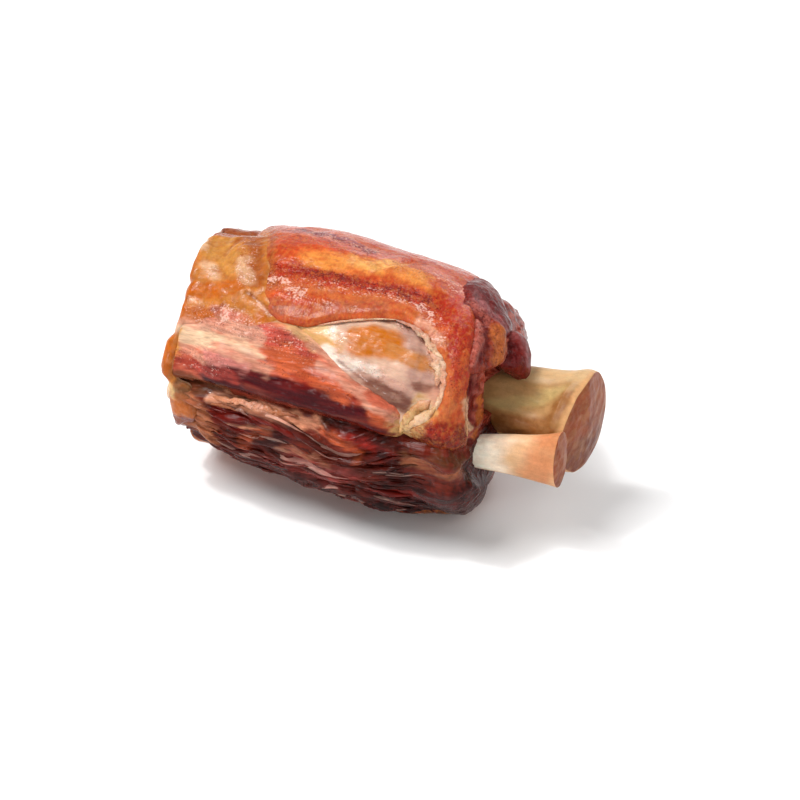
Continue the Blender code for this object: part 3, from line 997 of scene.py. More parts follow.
@dataclass(frozen=True)
class SkinShell:
    """A thick sheet laid on the knuckle, with a rounded lip all along its outline."""

    name: str
    outline: Line
    alongs: Array
    angles: Array
    finish: Finish
    base: Tone
    under: Tone
    reliefs: tuple[Relief, ...] = ()
    paints: tuple[Paint, ...] = ()
    grains: tuple[Grain, ...] = ()
    thickness: float = 3.2
    lip: float = 1.1
    fillet: float = 0.9
    fillet_reach: float = 2.4
    lift: float = 0.0
    ragged: float = 0.5
    ragged_size: float = 6.0
    swelling: float = 0.5
    swelling_size: float = 16.0
    fold: float = 0.14
    fold_size: float = 4.0
    rim_cuts: int = 5

    def inset(self, points: Array) -> Array:
        """Measure inwards from the outline, whose edge is slightly uneven.

        Args:
            points: Rows of (along, degrees, depth).

        Returns:
            Distances in millimetres, positive inside.
        """
        flat = unrolled(points[:, :2])
        uneven = Mottle(len(self.name)).layered(np.pad(flat, ((0, 0), (0, 1))), self.ragged_size)
        return signed_distance(flat, rounded(self.outline, closed=True)) + self.ragged * uneven

    def outward(self, points: Array) -> Array:
        """Find the shortest way out of the outline.

        Args:
            points: Rows of (along, degrees, depth).

        Returns:
            Directions in (along, degrees) that are a millimetre long.
        """
        step = 0.25
        push = np.array([step, 0.0, 0.0]), np.array([0.0, step / GIRTH_MM_PER_DEGREE, 0.0])
        slope = np.stack([self.inset(points - p) - self.inset(points + p) for p in push], axis=1)
        return unit(slope) / (1.0, GIRTH_MM_PER_DEGREE)

    def sheet(self) -> bmesh.types.BMesh:
        """Cut the sheet out of a grid and give it a second side and a rim.

        Returns:
            A closed mesh at (along, degrees, depth), with depth 0 outside and 1 inside.
        """
        sheet = plane_grid(self.alongs, self.angles, closed=False)
        inside = dict(zip(sheet.verts, self.inset(plane_points(sheet))))
        gone = [face for face in sheet.faces if sum(inside[v] for v in face.verts) < 0]
        bmesh.ops.delete(sheet, geom=gone, context="FACES")
        for _ in range(2):
            edge = [vertex for vertex in sheet.verts if vertex.is_boundary]
            points = np.array([vertex.co[:] for vertex in edge])
            shift = self.outward(points) * self.inset(points)[:, None]
            for vertex, (dx, dy) in zip(edge, shift):
                vertex.co += Vector((dx, dy, 0.0))
        made = bmesh.ops.extrude_face_region(sheet, geom=sheet.faces[:], use_keep_orig=True)
        for item in made["geom"]:
            if isinstance(item, bmesh.types.BMVert):
                item.co.z = 1.0
        rim = [edge for edge in sheet.edges if edge.verts[0].co.z != edge.verts[1].co.z]
        bmesh.ops.subdivide_edges(sheet, edges=rim, cuts=self.rim_cuts, use_grid_fill=True)
        return sheet

    def build(self, butcher: Butcher) -> bpy.types.Object:
        """Shape and dress the shell.

        Args:
            butcher: Places the piece.

        Returns:
            The finished object.
        """
        sheet = self.sheet()
        points = plane_points(sheet)
        depth = points[:, 2].copy()
        points[:, 2] = 0.0
        inset = np.maximum(self.inset(points), 0.0)
        rim = (depth > 0.001) & (depth < 0.999)
        bulge = self.lip * np.sin(math.pi * depth[rim]) ** 0.7
        points[rim, :2] += self.outward(points[rim]) * bulge[:, None]
        inset[rim] = 0.0
        along, angle = points[:, 0], points[:, 1]
        field = Field(along, angle, butcher.form.outline(along, angle))
        height = self.lift + heights(field, self.reliefs)
        swelling = self.swelling * field.noise(11, self.swelling_size, 2)
        height += swelling + self.fold * field.noise(12, self.fold_size, 2)
        short = np.clip(1.0 - inset / self.fillet_reach, 0.0, 1.0)
        height -= self.fillet * (1.0 - np.sqrt(1.0 - short**2)) + self.thickness * depth
        places = butcher.form.raised(along, angle, height)
        looks = self.dress(field, depth)
        return butcher.piece(self.name, sheet, places, looks, self.finish)

    def dress(self, field: Field, depth: Array) -> Looks:
        """Tint the shell.

        Args:
            field: Where its vertices lie.
            depth: 0 on its outer side, 1 on its inner side.

        Returns:
            Its looks.
        """
        looks = Looks.plain(len(field.along), self.base)
        looks.paint(field, self.paints)
        looks.season(field, self.grains)
        looks.lay(ramp(0.3, 0.6, depth), self.under, 0.9)
        looks.shade(1.0 + 0.10 * field.noise(21, 9.0) + 0.10 * field.noise(22, 2.4, 2, (3.0, 1.0, 1.0)))
        looks.wet = np.clip(0.7 + 0.45 * field.noise(23, 6.0), 0.0, 1.0)
        return looks


MAIN_RIND = SkinShell(
    name="main_rind",
    outline=(
        (-29, 51.5), (-20, 50.6), (-12.4, 52), (-2.8, 56.6), (11.1, 61.1), (21.3, 64.2), (29.7, 63.3),
        (37.6, 59.1), (43.5, 50.1), (46, 40), (46.3, 31), (44, 23), (40.5, 18), (38.5, 12), (42, 7),
        (47, 5), (53, 3.5), (60, 2), (66, 2.5), (67, 8), (63.5, 14), (60.5, 21), (58.3, 30), (56, 45),
        (52.2, 60), (49, 75), (45.6, 92), (41, 105), (40, 125), (43, 150), (47, 180), (44, 215),
        (48, 250), (51, 285), (50, 300), (36, 303), (18, 299), (0, 303), (-30, 300), (-56, 303),
        (-61, 288), (-59, 250), (-62, 210), (-58, 160), (-59, 116), (-52, 95), (-45, 78), (-41, 66),
        (-38.6, 57.6), (-34.5, 54.9),
    ),
    alongs=spaced((-65, -50, 1), (-50, 36, 0.9), (36, 65, 0.8)),
    angles=spaced((-15, 48, 0.9), (48, 70, 0.7), (70, 125, 0.95), (125, 308, 2)),
    finish=RIND_FINISH,
    base=Tone.RIND_ORANGE,
    under=Tone.LIP_BROWN,
    reliefs=(
        Relief(((-59, 116), (-52, 95), (-45, 78), (-41, 66), (-37, 57)), 0, 9, -1.5),
        Relief(((40, 9), (47, 4), (54, 2), (62, 0)), 0.5, 5, -1.9),
        Relief(((-38, 75), (-20, 76), (0, 75), (20, 77), (34, 73)), 1, 6, -0.8),
        Relief(((-38, 86), (0, 90), (34, 88)), 1, 9, 0.8),
        Relief(((4, 86), (9, 94), (14, 103)), 0.2, 2.2, -0.7),
        Relief(((0, 87), (5, 95), (10, 104)), 0.4, 2.4, 0.5),
        Relief(((-34, 62), (-10, 62), (10, 66), (26, 69)), 1, 4.5, 0.6),
        Relief(((48, 30), (48, 50), (43, 68)), 1, 5, 0.9),
        Relief(((44, 62), (45, 44), (45, 26)), 0.3, 2.4, -0.5),
        Relief(((44, 16), (49, 13)), 1.5, 3, 1),
        Relief(((54, 16), (58, 9)), 1, 3, 0.8),
        Relief(((-50, 150), (-20, 158), (30, 150)), 0.5, 5, -1.2),
        Relief(((-56, 190), (-10, 182), (20, 195), (44, 188)), 0.5, 6, -1.4),
        Relief(((-52, 222), (-16, 235), (36, 226)), 0.5, 5, -1.2),
        Relief(((38, 130), (40, 170), (37, 220), (42, 260)), 0.5, 4, -1.3),
        Relief(((-50, 130), (-48, 175), (-51, 230)), 0.5, 4, -1),
    ),
    paints=(
        Paint(((-60, 215), (50, 215)), 55, 40, Tone.RIND_BROWN, 0.75, 1, 12),
        Paint(((-40, 152), (-10, 170), (24, 152)), 5, 12, Tone.RIND_GOLD_AND_SHEEN, 0.55, 1.6, 8),
        Paint(((-34, 214), (8, 204), (42, 222)), 4, 14, Tone.RIND_RED, 0.7, 1.6, 8),
        Paint(((-52, 272), (0, 282), (44, 268)), 5, 12, Tone.AMBER_ORANGE, 0.7, 1.4, 9),
        Paint(((-60, 122), (-61, 200), (-59, 292)), 2, 13, Tone.AMBER_BROWN, 0.85, 1, 7),
        # Dark brown along the rind's lowest edge by the floor: painted shade.
        Paint(((-62, 302), (70, 302)), 4, 7, Tone.SHRED_BROWN, 0.85, 1.2, 5),
        Paint(((26, 298), (48, 296), (72, 294)), 6, 9, Tone.OLIVE_BROWN, 0.85, 1, 5),
        Paint(((-50, 128), (0, 126), (42, 120)), 9, 14, Tone.RIND_RED, 0.7, 1.2, 8),
        Paint(((-40, 180), (30, 170)), 12, 20, Tone.RIND_DARK, 0.5, 1.6, 9),
        Paint(((-50, 240), (40, 250)), 10, 18, Tone.RIND_COPPER, 0.6, 1.6, 9),
        Paint(((-50, 90), (-36, 89), (-18, 93), (0, 98)), 4, 7, Tone.RIND_EMBER, 0.8, 0.9),
        # Pink and plum along the crest: the rind's pinkish film, partly painted reflection of the light
        # behind it.
        Paint(((-56, 111), (-39, 108), (-24, 105), (-8, 101), (6, 100)),
              3, 5, Tone.RIND_PINK, 0.85, 1, 3),
        Paint(((24, 101), (36, 94), (44, 84)), 2, 4, Tone.RIND_PINK, 0.75, 1.4, 3),
        Paint(((-40, 106), (-28, 105), (-14, 104), (-2, 101)), 0.6, 3.4, Tone.RIND_PLUM, 0.8, 2, 2.4),
        # Golden band along the top and its brightest spot: painted highlight where the light falls on the
        # rind.
        Paint(((-24, 83), (-16, 84), (-8, 86), (2, 88), (10, 92), (20, 90), (32, 86)),
              2, 6, Tone.RIND_GOLD_AND_SHEEN, 0.95),
        Paint(((-6, 88), (4, 89), (11, 97)), 0.8, 3.8, Tone.RIND_PAINTED_HIGHLIGHT, 0.75),
        Paint(((-38, 74), (-23, 75), (-10, 75), (1, 76), (14, 77), (26, 77), (36, 74), (43, 68)),
              1.4, 5.0, Tone.RIND_RED, 0.9, 1.0, 3.0),
        Paint(((-30, 76), (-10, 77), (4, 77), (24, 78), (34, 76)),
              0.2, 2.6, Tone.RIND_DARK, 0.55, 2, 2.4),
        Paint(((32, 88), (40, 84), (45, 76), (48, 68)), 2.4, 4, Tone.RIND_RED, 0.85, 0.9),
        Paint(((34, 82), (41, 76), (45, 67), (47, 56)), 1.2, 4, Tone.RIND_RED, 0.85, 1.2),
        Paint(((-38, 65), (-22, 64), (-9, 66), (8, 69), (20, 70), (31, 66), (39, 58)),
              1.2, 3.4, Tone.RIND_COPPER, 0.8, 0.8),
        Paint(((-36, 57), (-24, 55), (-15, 57), (-5, 60), (4, 64), (15, 67)),
              1.6, 3, Tone.LIP_BROWN, 0.85, 0.7),
        Paint(((-30, 61), (-20, 61), (-10, 63)), 1, 3, Tone.RIND_EMBER, 0.7, 1),
        Paint(((41, 56), (44, 45), (46, 34), (47, 27), (46, 18)), 1.6, 3.5, Tone.RIND_COPPER, 0.95, 0.7),
        Paint(((46, 68), (45, 58), (47, 50), (49, 42)), 0.6, 3, Tone.CRIMSON, 0.8, 1.2),
        Paint(((50, 66), (53, 54), (56, 38)), 0.4, 2.4, Tone.CRIMSON, 0.7, 1.2),
        Paint(((31, 65), (36.5, 62), (40, 57)), 0.8, 2, Tone.CREAM_PINK, 0.85, 1, 2),
        # Brown along the rind's left edge: painted shade where it steps down to the collar.
        Paint(((-56, 114), (-49, 95), (-42, 78), (-37, 66)), 1.4, 5, Tone.AMBER_BROWN, 0.9, 0.8),
        Paint(((-58, 114), (-51, 95), (-44, 78)), 0.8, 3, Tone.AMBER, 0.6, 0.8),
        Paint(((41, 15), (50, 15), (62, 11)), 3.4, 4.5, Tone.CRUST, 0.95, 0.8),
        Paint(((40, 8), (48, 5), (56, 3), (66, 1)), 1.4, 4, Tone.SHRED_BROWN, 0.95, 1),
        Paint(((44, 16), (51, 14)), 1, 3, Tone.CRIMSON, 0.6, 1.4),
        Paint(((42, 22), (47, 25), (51, 29)), 1, 3, Tone.RIND_COPPER, 0.8, 1),
        Paint(((43, 24), (40, 18), (38, 12)), 1, 2.2, Tone.YELLOW_FAT, 0.85, 1),
        Paint(((57, 31), (61, 22), (65, 13), (67, 6)), 0.8, 2.4, Tone.AMBER_PALE, 0.9, 1.2),
    ),
    grains=(
        Grain(((-52, 104), (-20, 101), (20, 98), (40, 92)), 5, 7, 0.5, 0, 0.4),
        Grain(((-44, 106), (-24, 105), (-2, 101)), 2, 3, 0.9, 0.5, 0.7),
        Grain(((28, 98), (38, 92)), 2, 4, 0.5, 0.6, 0.7),
        Grain(((-38, 74), (-10, 75), (14, 77), (26, 77), (36, 74)), 2, 4, 0.9, 0, 0.5),
        Grain(((-38, 68), (-30, 67), (-22, 64)), 2.6, 3, 0.6, 1, 1),
        Grain(((-22, 70), (-6, 72), (10, 74)), 1.4, 3, 0, 0.5, 0.8),
        Grain(((12, 75), (23, 74), (31, 71), (38, 65), (41, 58)), 1.6, 2.6, 0, 1, 1),
        Grain(((46, 70), (48, 52), (50, 36)), 3, 4, 0.4, 0.05, 0.5),
        Grain(((36, 12), (46, 10), (60, 8)), 6, 5, 0.6, 0.06, 1),
        Grain(((-60, 210), (50, 210)), 70, 20, 0.5, 0, 0.4),
    ),
)

AMBER_COLLAR = SkinShell(
    name="amber_collar",
    outline=(
        (-79, -30), (-80.5, -16), (-80.5, 0), (-80.5, 14), (-81, 24), (-81, 40), (-80.5, 80),
        (-81, 110), (-80, 150), (-81, 200), (-80, 250), (-80, 299), (-56, 300), (-55, 250),
        (-57, 200), (-55, 150), (-54, 116), (-47, 95), (-40, 78), (-34, 63), (-27.5, 54), (-29, 46),
        (-37, 41), (-48, 41), (-57, 42), (-63.5, 41), (-69, 38), (-71.5, 31), (-71.5, 20),
        (-70.5, 12), (-66, 7.5), (-63.5, 1), (-63, -7), (-64.5, -16), (-68.5, -26), (-74.5, -31),
    ),
    alongs=spaced((-84, -25, 0.8)),
    angles=spaced((-38, 120, 0.85), (120, 303, 2)),
    finish=COLLAR_FINISH,
    base=Tone.AMBER,
    under=Tone.CREAM,
    lift=-0.7,
    thickness=2.8,
    lip=0.5,
    fillet=1.2,
    fillet_reach=4.0,
    swelling=0.7,
    fold=0.2,
    reliefs=(
        Relief(((-60, 118), (-49, 84), (-43, 66)), 1, 4, -0.7),
        Relief(((-79, 96), (-80, 118)), 3, 6, 0.8),
        Relief(((-76, 70), (-74, 84)), 2, 6, 1.3),
        Relief(((-50, 72), (-53, 84)), 2.5, 4, 0.9),
        Relief(((-66, 92), (-62, 74), (-52, 62)), 0.5, 4, -0.8),
        Relief(((-60, 94), (-64, 80)), 0.3, 2, -0.5),
        Relief(((-74, 58), (-60, 61), (-48, 62)), 1, 4, 0.6),
        Relief(((-27, 45), (-37, 40), (-48, 40), (-58, 40.5), (-63, 38)), 0, 7, -1.3),
        Relief(((-78, 28), (-77, 22), (-76, 15)), 1.6, 7, 3),
        Relief(((-90, 107), (-56, 109), (-56, 150), (-90, 150)), 0, 4, -1.8, closed=True),
        Relief(((-44, 60), (-38, 57), (-34, 55), (-29, 52)), 0.1, 1.8, -0.45),
        Relief(((-80, 101), (-62, 105)), 3, 7, -1.5),
        Relief(((-90, 8), (-56, 8), (-56, -50), (-90, -50)), 0, 1.6, -0.6, closed=True),
    ),
    paints=(
        Paint(((-70, 210), (-66, 210)), 80, 30, Tone.RIND_BROWN, 0.65, 1.2, 10),
        Paint(((-56, 126), (-57, 200), (-56, 292)), 5, 12, Tone.RIND_ORANGE, 0.8, 1, 6),
        Paint(((-72, 92), (-64, 84), (-58, 76)), 3, 7, Tone.AMBER_GOLD, 0.8, 0.8),
        Paint(((-73, 58), (-61, 60), (-50, 63)), 2.2, 4, Tone.AMBER_ORANGE, 0.95, 0.9),
        Paint(((-75, 78), (-73, 62), (-71, 50)), 1.2, 3.5, Tone.AMBER_ORANGE, 0.75, 1),
        # Brown beside the rind's edge, in these two strokes: painted shade at the step.
        Paint(((-54, 96), (-50, 86), (-46, 76), (-41, 66)), 1.2, 4, Tone.AMBER_BROWN, 0.9, 0.8),
        Paint(((-60, 96), (-55, 92)), 1.6, 4, Tone.AMBER_BROWN, 0.6, 1.4),
        Paint(((-60, 95), (-64, 82)), 0.3, 1.8, Tone.AMBER_BROWN, 0.6, 0.8),
        # Two light amber patches: painted highlights where the skin glints.
        Paint(((-52, 77), (-50, 71), (-46, 67)), 0.8, 4, Tone.AMBER_PALE, 0.6),
        Paint(((-66, 73), (-64, 71), (-62, 67)), 0.4, 3.4, Tone.AMBER_PALE, 0.7),
        Paint(((-76, 92), (-71, 84)), 1.2, 3, Tone.CREAM, 0.85, 0.8),
        Paint(((-78, 112), (-66, 113), (-56, 116)), 11, 6, Tone.RIND_BROWN, 0.85, 0.9, 3),
        Paint(((-74, 98), (-66, 99), (-58, 101)), 0.8, 2.6, Tone.RIND_RED, 0.6, 1.6, 2.5),
        Paint(((-62, 44), (-50, 46), (-40, 43)), 3, 4, Tone.SALMON, 0.85, 1),
        Paint(((-56, 49), (-46, 47)), 1.6, 3, Tone.RIND_PINK, 0.6, 1.4, 2.4),
        Paint(((-66, 45), (-58, 50), (-53, 53)), 0.2, 1.6, Tone.RIND_DARK, 0.6, 2, 2),
        Paint(((-35, 51), (-31, 45)), 1.2, 3, Tone.AMBER_ORANGE, 0.8, 1),
        Paint(((-44, 60), (-38, 57), (-34, 55), (-29, 52)), 0.1, 1.2, Tone.SHRED_BROWN, 0.7, 1.2),
        Paint(((-78, 40), (-79, 26), (-77, 14)), 0.8, 3, Tone.AMBER_PALE, 0.6),
        Paint(((-66, 6), (-62, -4)), 2, 3, Tone.OLIVE_BROWN, 0.9, 0.8),
        Paint(((-84, 2), (-73, 1)), 5, 2.6, Tone.OLIVE_CREAM, 0.95),
        Paint(((-84, -9), (-60, -9)), 5, 3.4, Tone.AMBER_ORANGE, 0.85, 0.8),
        Paint(((-66, 0), (-63, -8), (-65, -16)), 0.4, 2.4, Tone.AMBER_BROWN, 0.8, 1),
        Paint(((-84, -24), (-62, -22)), 6, 4, Tone.SHRED_RED, 0.9, 0.8),
        Paint(((-74, 36), (-74, 24), (-74, 12)), 1.4, 3.5, Tone.AMBER_ORANGE, 0.85, 0.8),
        Paint(((-70, 46), (-64, 46), (-58, 44)), 2, 3, Tone.AMBER_ORANGE, 0.8, 0.8),
        Paint(((-72, 40), (-64, 42), (-54, 43), (-44, 42), (-34, 42)),
              1.4, 4, Tone.CREAM_PINK, 0.85, 1.2, 3),
        Paint(((-72, 38), (-62, 39), (-50, 40)), 0.6, 2, Tone.CREAM, 0.8, 1.2, 3),
        Paint(((-72, 46), (-65, 46), (-60, 46)), 1.8, 2.6, Tone.AMBER_ORANGE, 0.9, 1),
    ),
    grains=(
        Grain(((-54, 49), (-46, 47), (-42, 45)), 2, 3, 0.6, 1, 1),
        Grain(((-62, 47), (-50, 48), (-38, 44)), 3, 4, 0.35, 0.4, 0.8),
        Grain(((-51, 75), (-47, 66)), 2, 3, 0, 0.7, 1),
        Grain(((-64, 72), (-63, 67)), 1, 2.5, 0, 0.7, 1),
        Grain(((-56, 93), (-51, 80)), 2, 4, 0.5, 0.3, 0.5),
        Grain(((-72, 98), (-58, 99)), 1, 3, 0.7, 0, 0.4),
        Grain(((-70, 210), (-68, 212)), 80, 20, 0.4, 0, 0.3),
    ),
)

LONG_MUSCLE = SkinShell(
    name="long_muscle",
    outline=(
        (-76, 11), (-77.5, 30), (-76, 48), (-66, 58), (-52, 62), (-38, 62), (-28, 56), (-17, 50),
        (-6, 43.8), (4, 36.8), (14, 30.4), (26, 24.2), (34, 19.5), (38.5, 14), (34, 9), (20, 10),
        (8, 11), (-8, 11.5), (-20, 11), (-34, 10), (-48, 10.5), (-60, 11), (-68, 9),
    ),
    alongs=spaced((-79, 42, 0.75)),
    angles=spaced((5, 66, 0.7)),
    finish=MUSCLE_FINISH,
    base=Tone.SALMON,
    under=Tone.MAROON,
    lift=-2.0,
    thickness=2.6,
    lip=0.8,
    fillet=1.4,
    fillet_reach=5.5,
    ragged=0.8,
    swelling=0.8,
    fold=0.25,
    reliefs=(
        Relief(((-50, 26), (-20, 24), (5, 20), (24, 16)), 2, 13, 2.3),
        Relief(((-58, 47), (-34, 45), (-14, 40)), 2, 8, 1.1),
        Relief(((-79, 8), (-79, 30), (-77, 50)), 2, 7, -1.6),
        Relief(((-26, 53), (-17, 49.5), (-6, 43.5), (4, 36.5), (14, 30.3)), 0, 5, -1.1),
        Relief(((-68, 9), (-48, 10.5), (-20, 11), (8, 11), (24, 9), (38, 10)), 0, 5, -1.5),
        Relief(((-64, 37), (-45, 37.5), (-26, 34)), 0.3, 3.4, -0.5),
        Relief(((-40, 21), (-18, 20), (6, 17), (28, 13)), 0.3, 2.2, -0.4),
        Relief(((-30, 29), (-10, 26), (10, 20)), 0.3, 1.8, -0.35),
        Relief(((-26, 33), (-6, 30), (12, 24)), 0.3, 1.8, 0.3),
        Relief(((35, 15), (42, 11)), 1, 9, -2.6),
    ),
    paints=(
        Paint(((-74, 54), (-52, 58), (-34, 57)), 2, 4.5, Tone.AMBER_ORANGE, 0.85, 1),
        Paint(((-34, 43), (-22, 42), (-10, 40)), 2.4, 4.5, Tone.SALMON_RED, 0.85, 1.7, 2.6, 3),
        Paint(((-28, 53), (-18, 49), (-8, 44)), 1.2, 4, Tone.OLIVE_CREAM, 0.8, 0.8, 3, 3),
        Paint(((-10, 45), (4, 37), (16, 30)), 0.8, 3.4, Tone.CREAM_PINK, 0.85, 0.9, 3, 4),
        Paint(((-25, 36), (-17, 33), (-8, 32)), 2.4, 5, Tone.MUSCLE_ORANGE, 0.9, 1.6, 3, 4),
        # Cream along the roll's top: a creamy layer, partly painted highlight on the upper side.
        Paint(((-74, 36), (-66, 36), (-58, 37), (-47, 37), (-40, 34.5), (-35, 33)),
              1.4, 6, Tone.CREAM, 0.92, 1.5, 3, 5),
        Paint(((-72, 42), (-60, 43), (-46, 43), (-34, 42)), 1.8, 4, Tone.CREAM_PINK, 0.85, 1.2, 3, 3),
        Paint(((-62, 32), (-52, 31), (-40, 29)), 0.8, 3, Tone.CREAM_PINK, 0.7, 1.2, 3, 5),
        Paint(((-74, 23), (-63, 21), (-54, 21), (-46, 20)), 2, 4, Tone.MAROON_RED, 0.75, 1.5, 2.6),
        Paint(((-66, 28), (-59, 26), (-52, 25)), 0.6, 2.5, Tone.CREAM_PINK, 0.7, 1.6, 2.4),
        Paint(((-73, 36), (-66, 35), (-58, 35)), 2.4, 3, Tone.CREAM, 0.9, 0.5, 3, 4),
        Paint(((-44, 25), (-28, 22), (-12, 22), (4, 19)), 1.6, 4.4, Tone.MAROON_RED, 0.9, 1, 3, 5),
        Paint(((-12, 28), (2, 24), (16, 18.5), (28, 15)), 1.6, 4.4, Tone.MAROON_RED, 0.75, 1.2, 3, 6),
        # Maroon along the roll's lower half: the muscle's dark red, deepened as painted shade where the
        # roll turns under.
        Paint(((-52, 17), (-38, 19.5), (-22, 19), (-6, 18), (10, 15), (26, 11)),
              4.8, 5, Tone.MAROON, 1, 0.7, 4, 5),
        Paint(((-50, 11), (-20, 11), (8, 11), (30, 9)), 0.8, 2.6, Tone.SHRED_BROWN, 0.9, 1.4, 3, 4),
        # Pink streak in the red: painted highlight.
        Paint(((-56, 28), (-47, 27), (-36, 25.5)), 0.6, 4, Tone.RIND_PINK, 0.9, 1.4, 2.6, 5),
        Paint(((-60, 20), (-50, 20), (-42, 20)), 1, 3, Tone.SALMON_RED, 0.6, 1.4, 2.6, 4),
        Paint(((-20, 33), (-10, 31), (-1, 27.5), (9, 23)), 1.2, 3.4, Tone.MUSCLE_ORANGE, 0.85, 1, 3, 6),
        Paint(((-5, 35), (3, 31.5), (10, 27.5), (20, 22.5)), 0.5, 2.2, Tone.CREAM_PINK, 0.7, 0.9, 3, 6),
        # Olive brown at the roll's lower left edge: painted shade of the recess below it.
        Paint(((-72, 14), (-66, 13), (-60, 11), (-48, 11.5)), 1.2, 3, Tone.OLIVE_BROWN, 0.85, 1),
        Paint(((24, 18), (34, 15)), 1, 5, Tone.MUSCLE_ORANGE, 0.8, 1, 3, 4),
        Paint(((18, 23), (28, 19.5), (36, 15)), 0.3, 2.4, Tone.CREAM_PINK, 0.8, 1.2, 3, 6),
        Paint(((-48, 33), (-38, 31), (-27, 27.5)), 0.9, 3.6, Tone.CREAM_PINK, 0.85, 1.3, 3, 5),
        Paint(((-71.5, 45), (-71, 36), (-70.5, 26)), 1, 4, Tone.AMBER_GOLD, 0.85, 1.3, 3, 3),
        Paint(((-73, 46), (-72.5, 36), (-72, 20)), 1, 2, Tone.AMBER_ORANGE, 0.8, 1, 3),
        Paint(((34, 13), (42, 11)), 1.6, 7, Tone.YELLOW_FAT, 1, 1.5, 2.6),
    ),
    grains=(
        Grain(((-60, 46), (-44, 46), (-30, 43), (-12, 39)), 3.5, 4, 0.3, 0.25, 0.9),
        Grain(((-56, 44), (-48, 43), (-40, 42)), 1.6, 2.6, 0, 0.8, 1),
        Grain(((-24, 42), (-14, 40)), 2, 3, 0.6, 0.35, 0.8),
        Grain(((-73, 25), (-60, 23), (-48, 24)), 3, 4, 0.3, 0.25, 0.7),
        Grain(((-28, 30), (-8, 28), (12, 22)), 2, 4, 0.3),
    ),
)

WINDOW_MUSCLE = SkinShell(
    name="window_muscle",
    outline=(
        (-34, 50), (-26, 56), (-10, 58), (4, 63), (20, 69), (34, 68), (44, 60), (50, 46), (50, 30),
        (47, 18), (42, 10), (36, 11), (24, 20), (8, 27), (-8, 34), (-22, 42),
    ),
    alongs=spaced((-36, 52, 0.75)),
    angles=spaced((8, 71, 0.72)),
    finish=WINDOW_FINISH,
    base=Tone.PALE_MUSCLE,
    under=Tone.MAUVE_BROWN,
    lift=-3.4,
    thickness=1.4,
    fillet=0.8,
    swelling=0.6,
    fold=0.25,
    reliefs=(
        Relief(((-14, 48), (8, 56), (24, 59), (36, 54), (41, 42), (38, 28), (28, 28), (8, 38)),
               0, 5, 1.5, closed=True),
        Relief(((-24, 50), (-8, 44), (10, 35), (26, 28)), 0.4, 2.6, -0.6),
        Relief(((26, 60), (29, 50), (26, 42), (27, 34)), 0.3, 6, -0.4),
        Relief(((36, 56), (37, 44), (35, 34)), 0.3, 2.4, -0.5),
        Relief(((0, 46), (12, 42), (22, 40)), 0.5, 3, 0.5),
    ),
    paints=(
        Paint(((-26, 52), (-16, 52), (-6, 47)), 3, 5, Tone.OLIVE_CREAM, 0.95),
        Paint(((30, 58), (35, 48), (37, 38)), 3, 5, Tone.MAUVE, 0.9, 0.8),
        Paint(((8, 35), (20, 33), (32, 31)), 2.4, 4, Tone.MAUVE, 0.85, 0.8, 3, 4),
        Paint(((4, 53), (13, 57), (23, 57.5), (28, 54), (26, 45), (15, 42.5), (6, 43)),
              0, 1.8, Tone.JELLY, 1, 0.2, closed=True),
        Paint(((24, 48), (30, 46.5), (38, 45.5)), 2.4, 2.6, Tone.AMBER, 0.95, 0.4),
        Paint(((-14, 48), (-6, 46), (2, 45)), 1.2, 3, Tone.AMBER_GOLD, 0.6, 0.8),
        # White patches: white fat in part, and painted highlights where the wet veil glints.
        Paint(((-5, 42), (2, 39), (9, 37.5)), 1.2, 2.2, Tone.WHITE_FAT_AND_GLINT, 0.9, 0.9, 3, 3),
        Paint(((11, 39), (20, 37)), 0.5, 2.2, Tone.WHITE_FAT_AND_GLINT, 0.7, 1.2, 3, 3),
        Paint(((-3, 53), (-2, 48)), 0.8, 2, Tone.WHITE_FAT_AND_GLINT, 0.85, 1.2),
        Paint(((19, 30), (26, 27), (34, 24.5)), 2.6, 3, Tone.MAUVE_BROWN, 1, 0.7, 3, 4),
        # Thin mauve-brown line beside the roll's edge and a band under the rind's lip: painted shadow.
        Paint(((2, 38.5), (10, 35), (18, 31.5)), 0.1, 0.9, Tone.MAUVE_BROWN, 0.7, 0.8, 3, 3),
        Paint(((16, 62), (28, 62.5), (36, 58)), 0.8, 2.6, Tone.MAUVE_BROWN, 0.85, 0.8),
        Paint(((37, 35), (40, 34), (43, 35)), 1.2, 1.8, Tone.MAUVE_BROWN, 1, 0.8),
        Paint(((33, 8), (34.5, 16), (36.5, 23), (39, 31), (42, 31), (45, 24), (44, 12), (38, 6)),
              0, 2, Tone.YELLOW_FAT, 0.95, 1, 2.6, closed=True),
        Paint(((38, 22), (40, 28), (43, 25)), 0.6, 2.4, Tone.CREAM, 0.7, 1.4, 2.2),
        Paint(((40, 54), (44, 42), (43, 30)), 0.8, 3, Tone.CREAM_PINK, 0.85, 1.2),
    ),
    grains=(
        Grain(((-3, 53), (0, 46)), 1, 2.4, 0, 0.8, 1),
        Grain(((-16, 54), (-4, 58), (8, 61)), 0.6, 2, 0, 0.6, 0.8),
        Grain(((1, 41), (14, 38), (22, 37)), 1, 2.6, 0, 0.5, 0.8),
        Grain(((24, 62), (34, 60), (40, 52), (43, 40)), 1.2, 2.5, 0.4, 0.7, 0.8),
        Grain(((16, 34), (30, 30)), 3, 4, 0.3),
    ),
)

